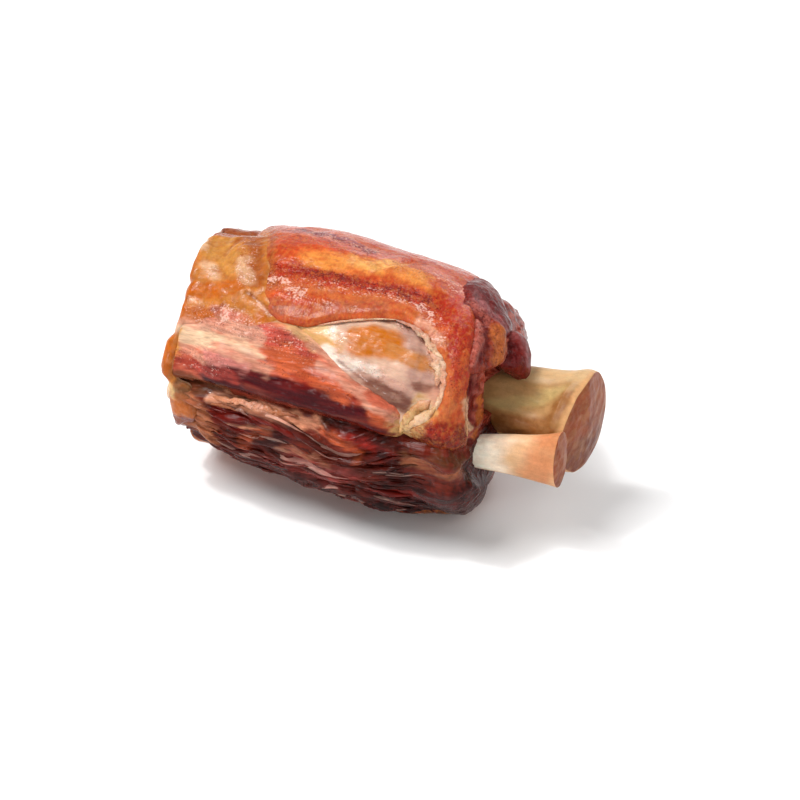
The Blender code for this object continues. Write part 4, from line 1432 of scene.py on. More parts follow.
TOP_LOBE = SkinShell(
    name="top_lobe",
    outline=(
        (39, 84), (50, 78), (58, 80), (62.5, 90), (61, 104), (54, 116), (44, 124), (37, 116),
    ),
    alongs=spaced((35, 66, 0.75)),
    angles=spaced((74, 128, 0.85)),
    finish=MEMBRANE_FINISH,
    base=Tone.LOBE_RED,
    under=Tone.MAROON,
    lift=0.6,
    thickness=4.5,
    lip=2.0,
    fillet=3.4,
    fillet_reach=7.0,
    swelling=1.0,
    fold=0.4,
    paints=(
        Paint(((43, 102), (49, 96), (54, 98)), 2, 5, Tone.LOBE_DARK, 0.8, 1.2),
        Paint(((50, 88), (57, 87)), 1.5, 4.5, Tone.LOBE_PINK, 0.85, 1.2, 3, 1),
        Paint(((47, 84), (53, 82)), 0.8, 3, Tone.MEMBRANE_PALE, 0.7, 1.2, 3, 1),
    ),
    grains=(Grain(((40, 100), (60, 100)), 20, 8, 0.6, 0.06, 0.6),),
)
TONGUE = SkinShell(
    name="tongue",
    outline=(
        (60, 96), (66, 86), (70, 76), (76, 71), (82, 76), (84, 88), (80, 102), (70, 112), (62, 108),
    ),
    alongs=spaced((56, 88, 0.7)),
    angles=spaced((66, 118, 1.2)),
    finish=MEMBRANE_FINISH,
    base=Tone.LOBE_RED,
    under=Tone.MAROON,
    lift=3.0,
    thickness=7.0,
    lip=2.4,
    fillet=4.6,
    fillet_reach=8.0,
    swelling=0.8,
    fold=0.3,
    paints=(
        Paint(((66, 96), (76, 92)), 1.5, 5, Tone.LOBE_PINK, 0.6, 1.2, 3, 1),
        Paint(((66, 88), (70, 80), (74, 74)), 0.8, 3, Tone.LOBE_DARK, 0.8, 1),
    ),
    grains=(Grain(((60, 90), (76, 90)), 20, 8, 0.4, 0.05, 0.5),),
)
HANGING_FLAP = SkinShell(
    name="hanging_flap",
    outline=(
        (49, 48), (48.5, 66), (46, 84), (53, 86), (62, 84), (69, 76), (71, 66), (67, 57), (58, 48),
    ),
    alongs=spaced((40, 74, 0.7)),
    angles=spaced((46, 88, 0.85)),
    finish=MEMBRANE_FINISH,
    base=Tone.MEMBRANE,
    under=Tone.DEEP_BROWN,
    lift=0.4,
    thickness=1.8,
    lip=0.7,
    fillet=1.1,
    fillet_reach=3.4,
    swelling=1.2,
    fold=0.6,
    reliefs=(
        Relief(((48, 46), (48, 66), (46, 86)), 1, 6, -3.4),
        Relief(((56, 84), (62, 74), (66, 66)), 1, 3.5, 1.6),
        Relief(((52, 84), (56, 70), (60, 58)), 0.3, 2.4, -1.4),
        Relief(((49, 80), (52, 66), (54, 52)), 0.5, 2, 0.9),
    ),
    paints=(
        Paint(((60, 80), (63, 72), (66, 65)), 3.4, 4, Tone.MEMBRANE_AMBER, 0.95, 0.8),
        # Light line on the flap's right rim: painted rim highlight.
        Paint(((66, 80), (70, 73), (71, 65)), 0.4, 2, Tone.MEMBRANE_PALE, 0.8, 0.8),
        Paint(((49, 84), (53, 66), (55, 52)), 0.6, 2, Tone.MEMBRANE_PALE, 0.8, 1.2, 2.4, 1),
        Paint(((52, 82), (56, 68), (58, 54)), 0.4, 1.8, Tone.LOBE_DARK, 0.8, 1.2, 2.4, 1),
        Paint(((46, 80), (49, 66), (50, 52)), 0.5, 2, Tone.LOBE_DARK, 0.6, 1.2, 2.4, 1),
    ),
    grains=(Grain(((46, 66), (64, 66)), 20, 8, 0.45, 0.06, 0.4),),
)


def pinch(along: Array) -> Array:
    """How strongly the torn strands on the lower side gather into a fold, from 0 to 1."""
    return 0.5 * ramp(-28.0, 8.0, along) * ramp(44.0, 8.0, along)


PINCH_ANGLE = -17.0
HEEL_PAINT = Paint(((36, -2), (46, -6), (56, -8)), 1, 4, Tone.SHRED_TAN, 0.5, 1.5, 3, 3)
LOWER_PAINTS = (
    # Deep brown over the whole lower side: painted shade on the underside.
    Paint(((-80, -26), (52, -26), (56, -66), (-80, -66)), 0, 6, Tone.DEEP_BROWN, 0.6, 1.2, closed=True),
    # Olive brown in the recess under the roll's left end: painted shade.
    Paint(((-70, 9), (-58, 8.5), (-46, 10)), 1.8, 3, Tone.OLIVE_BROWN, 0.95, 0.8),
    Paint(((-66, -1), (-61, -10), (-60, -24)), 4, 6, Tone.SHRED_TAN, 0.9, 1.2, 3),
    Paint(((-52, 4), (-41, 7), (-28, 7), (-15, 6), (-2, 7)), 1.2, 3.2, Tone.SHRED_PALE, 0.9, 1.2, 3),
    Paint(((-50, -4), (-36, -2), (-20, -2)), 3, 5, Tone.SHRED_RED, 0.9, 0.9),
    # Thin light line along the red strands: painted highlight.
    Paint(((-47, -6.5), (-36, -4), (-24, -1)), 0.3, 1.2, Tone.SHRED_PALE, 0.7, 1.4, 3, 4),
    Paint(((-40, -18), (-32, -8), (-26, -3)), 1.2, 3, Tone.MUSCLE_ORANGE, 0.6, 1.2),
    # Deep brown in a hollow among the strands: painted shade.
    Paint(((-31, -13), (-20, -7)), 1.4, 3.4, Tone.DEEP_BROWN, 0.9, 0.8),
    Paint(((-20, -11), (-9, -11), (2, -13)), 0.6, 2.4, Tone.SHRED_PALE, 0.5, 1.8, 2.6, 5),
    Paint(((-16, -15), (-2, -17), (12, -17)), 2, 4, Tone.SHRED_ROSE, 0.8, 1.6, 2.6, 5),
    Paint(((-44, -24), (-20, -28), (4, -27)), 1, 4, Tone.SHRED_ROSE, 0.5, 1.8, 2.6, 5),
    Paint(((-1, 4), (8, 2), (15, 0), (16, -6)), 0.8, 2.4, Tone.MUSCLE_ORANGE, 0.75, 1, 3, 4),
    Paint(((10, 6), (20, 3), (29, -1)), 1.4, 3, Tone.MAROON_RED, 0.9, 1, 3, 5),
    # Deep brown over the lower right: painted shade.
    Paint(((26, 4), (30, 4), (60, -2), (62, -60), (10, -60), (18, -24)),
          0, 8, Tone.DEEP_BROWN, 0.9, 0.8, closed=True),
    Paint(((38, 1), (44, -2), (56, -1)), 1, 3.4, Tone.OLIVE_BROWN, 0.7, 1),
    Paint(((20, -25), (34, -26), (42, -28)), 1.2, 3.6, Tone.SHRED_RED, 0.6, 1.2, 3, 4),
    # Deep brown along the roll's underside: painted shadow under the muscle roll.
    Paint(((0, 9), (16, 8), (30, 7), (36, 3)), 1.4, 2.6, Tone.DEEP_BROWN, 0.8, 0.8),
    HEEL_PAINT,
)
END_PAINTS = (
    Paint(((40, 10), (62, 4), (66, -8), (60, -16), (40, -16)),
          0, 4, Tone.SHRED_BROWN, 0.85, 1.2, 3, 0.4, closed=True),
    Paint(((46, 3), (54, 0), (62, -5)), 0.8, 3.4, Tone.OLIVE_BROWN, 0.75, 1.4, 3),
    HEEL_PAINT,
    Paint(((50, 80), (55, 66), (59, 51), (63, 36)), 0.5, 2.4, Tone.MEMBRANE_PALE, 0.8, 1.2, 2.4, 1),
    Paint(((54, 60), (60, 44), (68, 28)), 1.2, 3, Tone.LOBE_DARK, 0.6, 1.2, 2.4, 1),
    Paint(((58, 41), (66, 27), (74, 15)), 1.6, 3, Tone.LOBE_DARK, 0.85, 1),
    Paint(((57, 31), (63, 22), (72, 12)), 0.8, 2.4, Tone.AMBER_PALE, 0.9, 1),
    # Deep brown in the cavity under the hanging flap: painted shade.
    Paint(((62, 62), (70, 58), (78, 60)), 3, 4, Tone.DEEP_BROWN, 0.95, 0.4),
    Paint(((74, 34), (78, 26), (81, 13), (78, 4)), 1.6, 3, Tone.MEMBRANE_AMBER, 0.9, 0.8),
)


@dataclass(frozen=True)
class MeatCore:
    """The meat itself: its cut face, its torn lower side and the end that has shrunk back."""

    sunk: float = 6.4
    end_sunk: float = 2.0
    cut_sunk: float = 1.2
    cut_radius: float = 42.0
    rim_radius: float = 41.0
    rim_dip: float = 1.6
    bellies: float = 3.0
    belly_turn: float = 23.0
    belly_rise: float = 3.0
    fold: float = 1.9
    bundle: float = 1.2
    wedge_angle: float = -42.0
    reliefs: tuple[Relief, ...] = (
        Relief(((-67, 8), (-20, 9), (36, 6), (58, -6), (58, -66), (-76, -66), (-72, -24), (-66, -14)),
               0, 4, 4.2, closed=True),
        Relief(((-66, 8), (-52, 9), (-36, 8.5)), 1.5, 3.5, -2.4),
        Relief(((66, 58), (73, 50), (80, 38), (89, 18), (99, 14), (99, 84), (84, 82), (76, 72), (68, 66)),
               0, 3, -9, closed=True),
        Relief(((58, 4), (70, 2)), 2, 5, -2),
        Relief(((-93, 8), (-70, 8), (-68, -60), (-93, -60)), 0, 5, -2.4, closed=True),
        Relief(((44, 4), (54, 0), (66, -2)), 3, 5, 2.4),
        Relief(((48, -24), (58, -28)), 5, 7, 2.5),
    )

    @staticmethod
    def torn(along: Array, angle: Array) -> Array:
        """Raise the torn folds, which run along the knuckle and gather at the pinch.

        Args:
            along: Distance along the surface.
            angle: Degrees round the axis.

        Returns:
            Their height, from about -1 to 1.
        """
        gather = pinch(along)
        start = (angle - PINCH_ANGLE * gather) / (1.0 - gather)
        flat = np.stack([along / 26.0, start / 4.6, np.zeros(len(along))], axis=1)
        return 1.4 * Mottle(71).single(flat) + 0.7 * Mottle(72).single(flat * (2.0, 2.2, 1.0))

    @staticmethod
    def bundles(along: Array, angle: Array, fineness: float) -> Array:
        """Pattern of the shrunk end: folds along the rind's edge, then bundles towards the bone.

        Args:
            along: Distance along the surface.
            angle: Degrees round the axis.
            fineness: 1 for the folds of its form, more for its finer colours.

        Returns:
            Values of about -1 to 1.
        """
        turn = np.radians(angle)
        ring = np.stack([np.cos(turn), np.sin(turn)], axis=1) * fineness
        folds = Mottle(73).layered(np.column_stack([along / 3.4 * fineness, 3.4 * ring]), 1.0, 2)
        ribs = Mottle(75).layered(np.column_stack([along / 15.0 * fineness, 8.0 * ring]), 1.0, 2)
        share = ramp(72.0, 60.0, along)
        return folds * share + ribs * (1.0 - share)

    def height(self, field: Field) -> Array:
        """Height of the core over the form.

        Args:
            field: Where to read it.

        Returns:
            Heights in millimetres.
        """
        along, angle = field.along, field.angle
        end = ramp(42.0, 54.0, along)
        low = ramp(16.0, 6.0, angle) * ramp(-66.0, -60.0, angle)
        height = heights(field, self.reliefs) - self.sunk * (1.0 - end) - self.end_sunk * end
        calm = 1.0 - 0.6 * ramp(16.0, 40.0, along)
        torn = self.fold * calm * self.torn(along, angle) * low
        height += torn * (1.0 - end) * ramp(-78.0, -70.0, along)
        aside = np.abs(angle_gap(angle, self.wedge_angle))
        folded = end * ramp(88.0, 78.0, along) * (0.3 + 0.7 * ramp(46.0, 62.0, aside))
        height += self.bundle * self.bundles(along, angle, 1.0) * folded
        cut = ramp(-76.0, -80.0, along)
        return height + cut * (self.sunk - self.cut_sunk)

    def build(self, butcher: Butcher) -> bpy.types.Object:
        """Shape and dress the core.

        Args:
            butcher: Places the piece.

        Returns:
            The finished object.
        """
        alongs = spaced((-123.0, -78.0, 1.0), (-78.0, 42.0, 0.9), (42.0, 84.0, 0.7), (84.0, 98.0, 1.4))
        angles = spaced((-62.0, 18.0, 0.75), (18.0, 130.0, 1.2), (130.0, 298.0, 3.0))
        sheet = plane_grid(alongs, angles, closed=True)
        points = plane_points(sheet)
        along, angle = points[:, 0], points[:, 1]
        field = Field(along, angle, butcher.form.outline(along, angle))
        radius = np.hypot(field.place[:, 1], field.place[:, 2])
        cut = ramp(-78.0, -82.0, along)
        turn = np.radians(self.bellies * (angle + self.belly_turn))
        belly = 0.5 + 0.5 * np.cos(turn + 0.7 * field.noise(41, 14.0, 2))
        swelling = belly * np.sin(math.pi * np.clip(radius / self.cut_radius, 0.0, 1.0)) ** 2
        rim = swell(radius - self.rim_radius, 2.0)
        height = self.height(field) + cut * (self.belly_rise * swelling - self.rim_dip * rim)
        height += 0.4 * field.noise(42, 5.0) + 0.2 * field.noise(43, 1.8)
        places = butcher.form.raised(along, angle, height)
        close_poles(places, along)
        looks = self.dress(field, radius, belly)
        return butcher.piece("meat_core", sheet, places, looks, SHRED_FINISH)

    def dress(self, field: Field, radius: Array, belly: Array) -> Looks:
        """Tint the core.

        Args:
            field: Where its vertices lie.
            radius: Distance of each from the axis.
            belly: 1 in the middle of a cut muscle, 0 in the seam between two.

        Returns:
            Its looks.
        """
        along, angle = field.along, field.angle
        looks = Looks.plain(len(along), Tone.SHRED_BROWN)
        looks.paint(field, LOWER_PAINTS)
        end = ramp(46.0, 54.0, along)
        looks.lay(end, Tone.MEMBRANE)
        strings = self.bundles(along, angle, 1.7) + 0.4 * field.noise(74, 5.0)
        looks.lay(end * ramp(0.0, 0.4, strings), Tone.MEMBRANE_PALE, 0.7)
        looks.lay(end * ramp(-0.05, -0.4, strings), Tone.LOBE_DARK, 0.85)
        aside = np.abs(angle_gap(angle, self.wedge_angle))
        # Deep brown over the lower right end: painted shade.
        painted_shade_wedge = ramp(36.0, 46.0, along) * ramp(50.0, 32.0, aside)
        looks.lay(painted_shade_wedge, Tone.DEEP_BROWN, 0.94)
        looks.paint(field, END_PAINTS)
        cut = ramp(-77.0, -80.0, along)
        looks.lay(cut, Tone.SHRED_BROWN)
        looks.lay(cut * ramp(-0.2, 0.5, field.noise(44, 9.0)), Tone.MAROON_RED, 0.7)
        looks.lay(cut * ramp(0.0, 0.6, field.noise(45, 4.0)), Tone.SHRED_TAN, 0.7)
        looks.lay(cut * ramp(0.16, 0.02, belly) * ramp(8.0, 14.0, radius), Tone.CREAM_PINK, 0.85)
        looks.lay(cut * ramp(39.0, 42.0, radius + 0.8 * field.noise(46, 4.0)), Tone.CREAM, 0.9)
        looks.shade(1.0 + 0.16 * field.noise(47, 5.0) + 0.16 * field.noise(48, 1.6, 2, (5.0, 1.0, 1.0)))
        looks.wet = np.clip(0.5 + 0.4 * field.noise(49, 5.0), 0.0, 1.0)
        return looks


@dataclass(frozen=True)
class Strands:
    """One kind of torn strand, by how many, how long and how thick."""

    count: int
    shortest: float
    longest: float
    thinnest: float
    thickest: float
    lift: float
    # Share of strands that get painted highlights.
    glinted: float


@dataclass(frozen=True)
class Shreds:
    """Strands of meat that have come apart on the lower side and gather at the pinch."""

    kinds: tuple[Strands, ...] = (
        Strands(60, 26, 60, 1.5, 2.6, -0.6, 0.04),
        Strands(80, 16, 46, 0.8, 1.4, 0.2, 0.1),
        Strands(70, 8, 30, 0.35, 0.6, 0.8, 0.25),
    )
    top_angle: float = 7.0
    low_angle: float = -58.0
    start: float = -65.0
    end: float = 44.0
    sides: int = 8
    rings: int = 26
    seed: int = 77
    lean: float = 1.6
    sway: float = 1.1
    ripple: float = 0.5
    flattened: float = 1.2
    darkest: float = 0.42
    lightest: float = 1.1

    def strand(self, draw: np.random.Generator, kind: Strands, share: Array, turn: Array) -> Array:
        """Lay one strand along the torn side.

        Args:
            draw: Draws its length, its place, its course and its tint.
            kind: Which kind of strand it is.
            share: Each vertex's share of the way from end to end.
            turn: Its turn round the strand in radians.

        Returns:
            Rows of distance along, degrees, height over the core, brightness and whether it takes painted
            glints.
        """
        length = draw.uniform(kind.shortest, kind.longest)
        start = draw.uniform(self.start, self.end - length)
        angle = draw.uniform(self.low_angle, self.top_angle)
        thick = draw.uniform(kind.thinnest, kind.thickest)
        lean = draw.normal(0.0, self.lean)
        phase = draw.uniform(0.0, math.tau)
        bright = draw.uniform(self.darkest, self.lightest)
        glinted = float(draw.uniform() < kind.glinted)
        along = start + share * length
        path = angle + lean * (share - 0.5) + self.sway * np.sin(share * 6.0 + phase)
        gather = pinch(along)
        path = path * (1.0 - gather) + PINCH_ANGLE * gather
        girth = thick * np.sin(math.pi * np.clip(share, 0.0, 1.0)) ** 0.6
        path += girth * np.cos(turn) * self.flattened / GIRTH_MM_PER_DEGREE
        lift = kind.lift + girth * np.sin(turn) + self.ripple * np.sin(share * 7.0 + phase)
        return np.stack([along, path, lift, *(np.full(len(share), tint) for tint in (bright, glinted))])

    def build(self, butcher: Butcher) -> bpy.types.Object:
        """Shape and dress the strands.

        Args:
            butcher: Places the piece.

        Returns:
            The finished object.
        """
        draw = np.random.default_rng(self.seed)
        kinds = [kind for kind in self.kinds for _ in range(kind.count)]
        shape, shares, turns = drawn_balls([(self.sides, self.rings)] * len(kinds))
        balls = zip(kinds, np.split(shares, len(kinds)), np.split(turns, len(kinds)))
        strands = [self.strand(draw, kind, share, turn) for kind, share, turn in balls]
        along, angle, lift, bright, glinted = np.hstack(strands)
        field = Field(along, angle, butcher.form.outline(along, angle))
        places = butcher.form.raised(along, angle, MeatCore().height(field) + lift)
        looks = Looks.plain(len(along), Tone.SHRED_BROWN)
        looks.paint(field, LOWER_PAINTS)
        # The glint tone on some strands: painted highlights along them.
        looks.lay(glinted, Tone.GLINT, 0.36)
        bright = bright + 0.2 * field.noise(81, 6.0, 2, (3.0, 1.0, 1.0))
        looks.shade(bright + 0.24 * field.noise(83, 1.4, 2, (5.0, 1.0, 1.0)))
        looks.wet = np.clip(0.85 + 0.4 * field.noise(82, 5.0), 0.0, 1.0)
        return butcher.piece("shreds", shape, places, looks, SHRED_FINISH)


@dataclass(frozen=True)
class Roll:
    """A lumpy roll along a line, with tones spread over its length."""

    line: Line
    radius: float
    height: float
    tones: tuple[Tone, ...]
    lumps: float = 0.45
    lump_size: float = 2.6

    def course(self) -> tuple[Array, Array]:
        """Draw the middle of the roll.

        Returns:
            Its flat points in millimetres, and how far along the roll each of them is.
        """
        curve = rounded(self.line, closed=False, pieces=12)
        steps = np.linalg.norm(np.diff(curve, axis=0), axis=1)
        return curve, np.append(0.0, np.cumsum(steps))

    def laid(self, seed: int, share: Array, turn: Array) -> Array:
        """Draw a ball out along the roll.

        Args:
            seed: Which noise its lumps follow.
            share: Each vertex's share of the way from end to end.
            turn: Its turn round the roll in radians.

        Returns:
            Rows of distance along, degrees and height over the form.
        """
        curve, reach = self.course()
        run = share * reach[-1]
        middle, ahead, behind = (
            np.stack([np.interp(run + step, reach, axis) for axis in curve.T], axis=1)
            for step in (0.0, 0.5, -0.5))
        way = unit(ahead - behind)
        section = np.stack([run, 2.0 * np.cos(turn), 2.0 * np.sin(turn)], axis=1)
        lump = Mottle(seed).layered(section, self.lump_size, 2)
        girth = self.radius * (1.0 + self.lumps * lump) * np.sin(math.pi * np.clip(share, 0, 1)) ** 0.5
        flat = middle + np.stack([-way[:, 1], way[:, 0]], axis=1) * (girth * np.cos(turn))[:, None]
        lift = self.height + girth * np.sin(turn)
        return np.stack([flat[:, 0], flat[:, 1] / GIRTH_MM_PER_DEGREE, lift])

    def tint(self, share: Array) -> Array:
        """Spread the tones over the roll.

        Args:
            share: Each vertex's share of the way from end to end.

        Returns:
            Linear colours, one row each.
        """
        stops = np.linspace(0.0, 1.0, len(self.tones))
        channels = np.stack([tone.linear for tone in self.tones]).T
        return np.stack([np.interp(share, stops, channel) for channel in channels], axis=1)


@dataclass(frozen=True)
class FatTrim:
    """Rolls and crumbs of fat and gristle round the openings of the skin."""

    rolls: tuple[Roll, ...] = (
        Roll(((21, 63), (30, 61.8), (36.5, 57.6), (42, 49.5), (44.8, 40), (45, 31), (43, 23), (39.5, 15)),
             1.5, -2.4,
             (Tone.MAUVE, Tone.CREAM_PINK, Tone.CREAM, Tone.CREAM_PINK, Tone.CREAM, Tone.YELLOW_FAT),
             0.8),
        Roll(((29, 61.5), (37, 56.5), (41.5, 47), (42.5, 36)), 1.3, -2.5,
             (Tone.MAUVE, Tone.CREAM, Tone.CREAM_PINK, Tone.CREAM, Tone.CREAM_PINK), 1.3),
        Roll(((44, 27), (41, 21), (38.5, 16), (36, 12)), 1.6, -2.2,
             (Tone.YELLOW_FAT, Tone.CREAM, Tone.YELLOW_FAT), 0.6),
        Roll(((33.5, 10.5), (35, 15), (37.5, 21), (41.5, 30)), 2.2, -3.6,
             (Tone.YELLOW_FAT, Tone.OLIVE_CREAM, Tone.YELLOW_FAT, Tone.CREAM_PINK), 0.45),
        Roll(((34, 18), (37, 13.5), (41, 12)), 2, -3.6,
             (Tone.YELLOW_FAT, Tone.OLIVE_CREAM, Tone.YELLOW_FAT), 0.4),
        Roll(((-10, 51.6), (0, 56), (12, 60.4), (22, 63.2)), 0.5, -2, (Tone.CREAM_PINK, Tone.CREAM)),
        Roll(((-54, 5), (-44, 6.5), (-34, 7.2), (-22, 7), (-12, 8)), 1.6, -3.4,
             (Tone.SHRED_TAN, Tone.SHRED_PALE, Tone.CREAM_PINK, Tone.SHRED_TAN, Tone.SHRED_BROWN), 0.9),
        Roll(((-62, 0), (-50, 2), (-38, 3), (-24, 3.5)), 0.9, -3,
             (Tone.SHRED_TAN, Tone.SHRED_BROWN), 0.9),
        Roll(((57, 35), (61, 25), (65, 15), (68, 7)), 1.1, -1.6,
             (Tone.CREAM_PINK, Tone.AMBER_PALE, Tone.YELLOW_FAT), 0.6),
    )
    sides: int = 14
    step: float = 0.7
    fewest_rings: int = 12
    first_seed: int = 90

    def build(self, butcher: Butcher) -> bpy.types.Object:
        """Shape and dress the rolls.

        Args:
            butcher: Places the piece.

        Returns:
            The finished object.
        """
        lengths = [roll.course()[1][-1] for roll in self.rolls]
        sizes = [(self.sides, max(int(length / self.step), self.fewest_rings)) for length in lengths]
        shape, shares, turns = drawn_balls(sizes)
        ends = np.cumsum([ball_vertices(*size) for size in sizes])[:-1]
        parts = [*zip(self.rolls, np.split(shares, ends), np.split(turns, ends))]
        laid = [roll.laid(self.first_seed + number, share, turn)
                for number, (roll, share, turn) in enumerate(parts)]
        along, angle, lift = np.hstack(laid)
        field = Field(along, angle, butcher.form.outline(along, angle))
        looks = Looks.plain(len(along), Tone.CREAM, 0.8)
        looks.tint = np.vstack([roll.tint(share) for roll, share, _ in parts])
        looks.lay(ramp(0.25, 0.6, field.noise(91, 3.0)), Tone.SHRED_TAN, 0.5)
        looks.shade(1.0 + 0.12 * field.noise(92, 2.0))
        looks.speck = np.full(len(along), 0.25)
        places = butcher.form.raised(along, angle, lift)
        return butcher.piece("fat_trim", shape, places, looks, FAT_FINISH)


@dataclass(frozen=True)
class Bone:
    """One bone, drawn along X from its sawn end to its joint face."""

    name: str
    node: str
    slot: str
    stations: tuple[float, ...]
    centre_y: tuple[float, ...]
    centre_z: tuple[float, ...]
    half_widths: tuple[float, ...]
    half_heights: tuple[float, ...]
    dome: float
    tilt_y: float
    tilt_z: float
    corner: float = 0.0
    cut_x: float = -82.6
    cut_reach: float = 12.0
    face_reach: float = 24.0
    hidden_x: float = 40.0
    grain: float = 0.016
    trough_angle: float = 52.0
    trough_spread: float = 38.0
    trough_depth: float = 0.0
    trough_x: float = 76.0
    trough_length: float = 15.0
    tan_from: float = 62.0
    sides: int = 128
    rim_hollow: float = 0.0
    base: Tone = Tone.BONE_CREAM
    paints: tuple[Paint, ...] = ()

    def hollow(self, x: Array, angle: Array) -> Array:
        """Sink the trough along the bone.

        Args:
            x: Places along the bone in millimetres.
            angle: Degrees round it.

        Returns:
            How deep it is there, as a share of its full depth.
        """
        rim = self.stations[-1]
        run = swell((x - self.trough_x) / self.trough_length, 1.0) * ramp(rim + 1.0, rim - 6.0, x)
        run = np.maximum(run, self.rim_hollow * ramp(rim - 14.0, rim - 4.0, x))
        return run * swell(angle_gap(angle, self.trough_angle), self.trough_spread)

    def build(self, butcher: Butcher) -> bpy.types.Object:
        """Shape and dress the bone.

        Args:
            butcher: Places the piece.

        Returns:
            The finished object.
        """
        rim = self.stations[-1]
        alongs = spaced((self.cut_x - self.cut_reach, self.cut_x, 1.0),
                        (self.cut_x, self.hidden_x, 4.0), (self.hidden_x, rim, 0.6),
                        (rim, rim + self.face_reach, 0.6))
        sheet = plane_grid(alongs, np.linspace(-60.0, 300.0, self.sides + 1), closed=True)
        points = plane_points(sheet)
        along, angle = points[:, 0], points[:, 1]
        x = np.clip(along, self.cut_x, rim)
        crown = np.clip((along - rim) / self.face_reach, 0.0, 1.0)
        closing = np.where(along < self.cut_x, 1.0 - (self.cut_x - along) / self.cut_reach,
                           np.cos(crown * math.pi / 2) ** 0.8)
        width = eased(x, self.stations, self.half_widths)
        height = eased(x, self.stations, self.half_heights)
        turn = np.radians(angle)
        section = np.stack([x * 0.25, 8.0 * np.cos(turn), 8.0 * np.sin(turn)], axis=1)
        sunk = self.trough_depth / max(self.half_widths) * self.hollow(x, angle)
        scale = 1.0 - sunk + self.grain * Mottle(61).layered(section, 4.0)
        across = -closing * scale * width * np.cos(turn)
        over = closing * scale * height * np.sin(turn)
        lean = ramp(self.tan_from - 2.0, rim - 1.0, x)
        shift = self.tilt_y * across + self.tilt_z * over
        shift += self.corner * swell(angle_gap(angle, 92.0), 24.0) * closing
        dome = self.dome * (1.0 - closing**2) * (along > rim)
        places = np.stack([x + lean * shift + dome, eased(x, self.stations, self.centre_y) + across,
                           eased(x, self.stations, self.centre_z) + over], axis=1)
        places[:, 0] += 0.4 * ramp(0.05, 0.3, crown) * Mottle(62).layered(places, 6.0)
        close_poles(places, along)
        looks = self.dress(Field(x, angle, places), crown)
        return butcher.piece(self.name, sheet, places, looks, BONE_FINISH, self.slot, (self.node,))

    def dress(self, field: Field, crown: Array) -> Looks:
        """Tint the bone.

        Args:
            field: Where its vertices lie.
            crown: How far each vertex is over the joint face, from its rim to its middle.

        Returns:
            Its looks.
        """
        low = ramp(0.0, -14.0, field.place[:, 2] - field.place[:, 2].mean())
        looks = Looks.plain(len(field.along), self.base, 0.5)
        looks.paint(field, self.paints)
        looks.lay(ramp(0.02, 0.12, crown), Tone.BONE_FACE, 0.95)
        # The joint face darker towards the bottom.
        looks.lay(ramp(0.04, 0.2, crown) * low, Tone.BONE_DEEP_BROWN, 0.8)
        looks.lay(ramp(0.1, 0.6, field.noise(65, 8.0)) * ramp(0.04, 0.2, crown), Tone.BONE_DEEP_BROWN, 0.4)
        sawn = ramp(self.cut_x + 2.0, self.cut_x, field.along)
        looks.lay(sawn, Tone.BONE_TAN, 0.8)
        across = field.place[:, 1:] - (self.centre_y[0], self.centre_z[0])
        reach = np.hypot(*across.T) / self.half_widths[0] + 0.1 * field.noise(66, 3.0)
        looks.lay(sawn * ramp(0.72, 0.6, reach), Tone.BONE_DEEP_BROWN, 0.75)
        looks.lay(sawn * ramp(0.6, 0.5, reach) * ramp(0.0, 0.4, field.noise(67, 1.8)), Tone.BONE_TAN, 0.5)
        looks.shade(1.0 + 0.10 * field.noise(63, 5.0) + 0.06 * field.noise(64, 1.2))
        looks.speck = 0.35 * ramp(0.0, 0.1, crown)
        return looks


SHANK_BONE = Bone(
    name="shank_bone_looks", node="shank_bone", slot=SHANK_SLOT,
    stations=(-90, 46, 62, 72, 80, 87, 92, 95.5),
    centre_y=(2,) * 8, centre_z=(0.5, 0.5, 0.4, 0, -0.8, -1.8, -2.6, -2.8),
    half_widths=(12, 12, 15, 16.4, 17.2, 18.4, 19.8, 19.6),
    half_heights=(12.5, 12.5, 15.4, 17, 18.6, 21, 23.4, 23),
    dome=2.5, trough_depth=9.5, rim_hollow=0.5, tilt_y=0.2, tilt_z=-0.02, corner=2.0,
    base=Tone.BONE_KHAKI,
    paints=(
        Paint(((60, 150), (96, 150)), 50, 20, Tone.BONE_LIGHT, 0.7, 0.5, 8),
        # Light green streak down the trough wall and light line along its top: painted highlights.
        Paint(((64, 24), (74, 44), (84, 72)), 2, 9, Tone.BONE_GREEN, 0.9, 0.5, 6),
        Paint(((68, 88), (82, 90), (92, 90)), 1.5, 6, Tone.BONE_LIGHT, 0.35, 0.5, 6),
        # Brown on the lower side by the slender bone and down beside the ridge: painted shade.
        Paint(((56, -10), (76, -8), (90, -4)), 14, 12, Tone.BONE_BROWN, 0.9, 0.4),
        Paint(((84, 16), (90, 28), (91, 50), (92, 66)), 1.2, 6, Tone.BONE_BROWN, 0.75, 0.5, 5),
        Paint(((95.5, -60), (95.5, 30), (95.5, 110), (95.5, 200)), 0.8, 2.4, Tone.BONE_TAN, 0.9, 0.4),
    ),
)
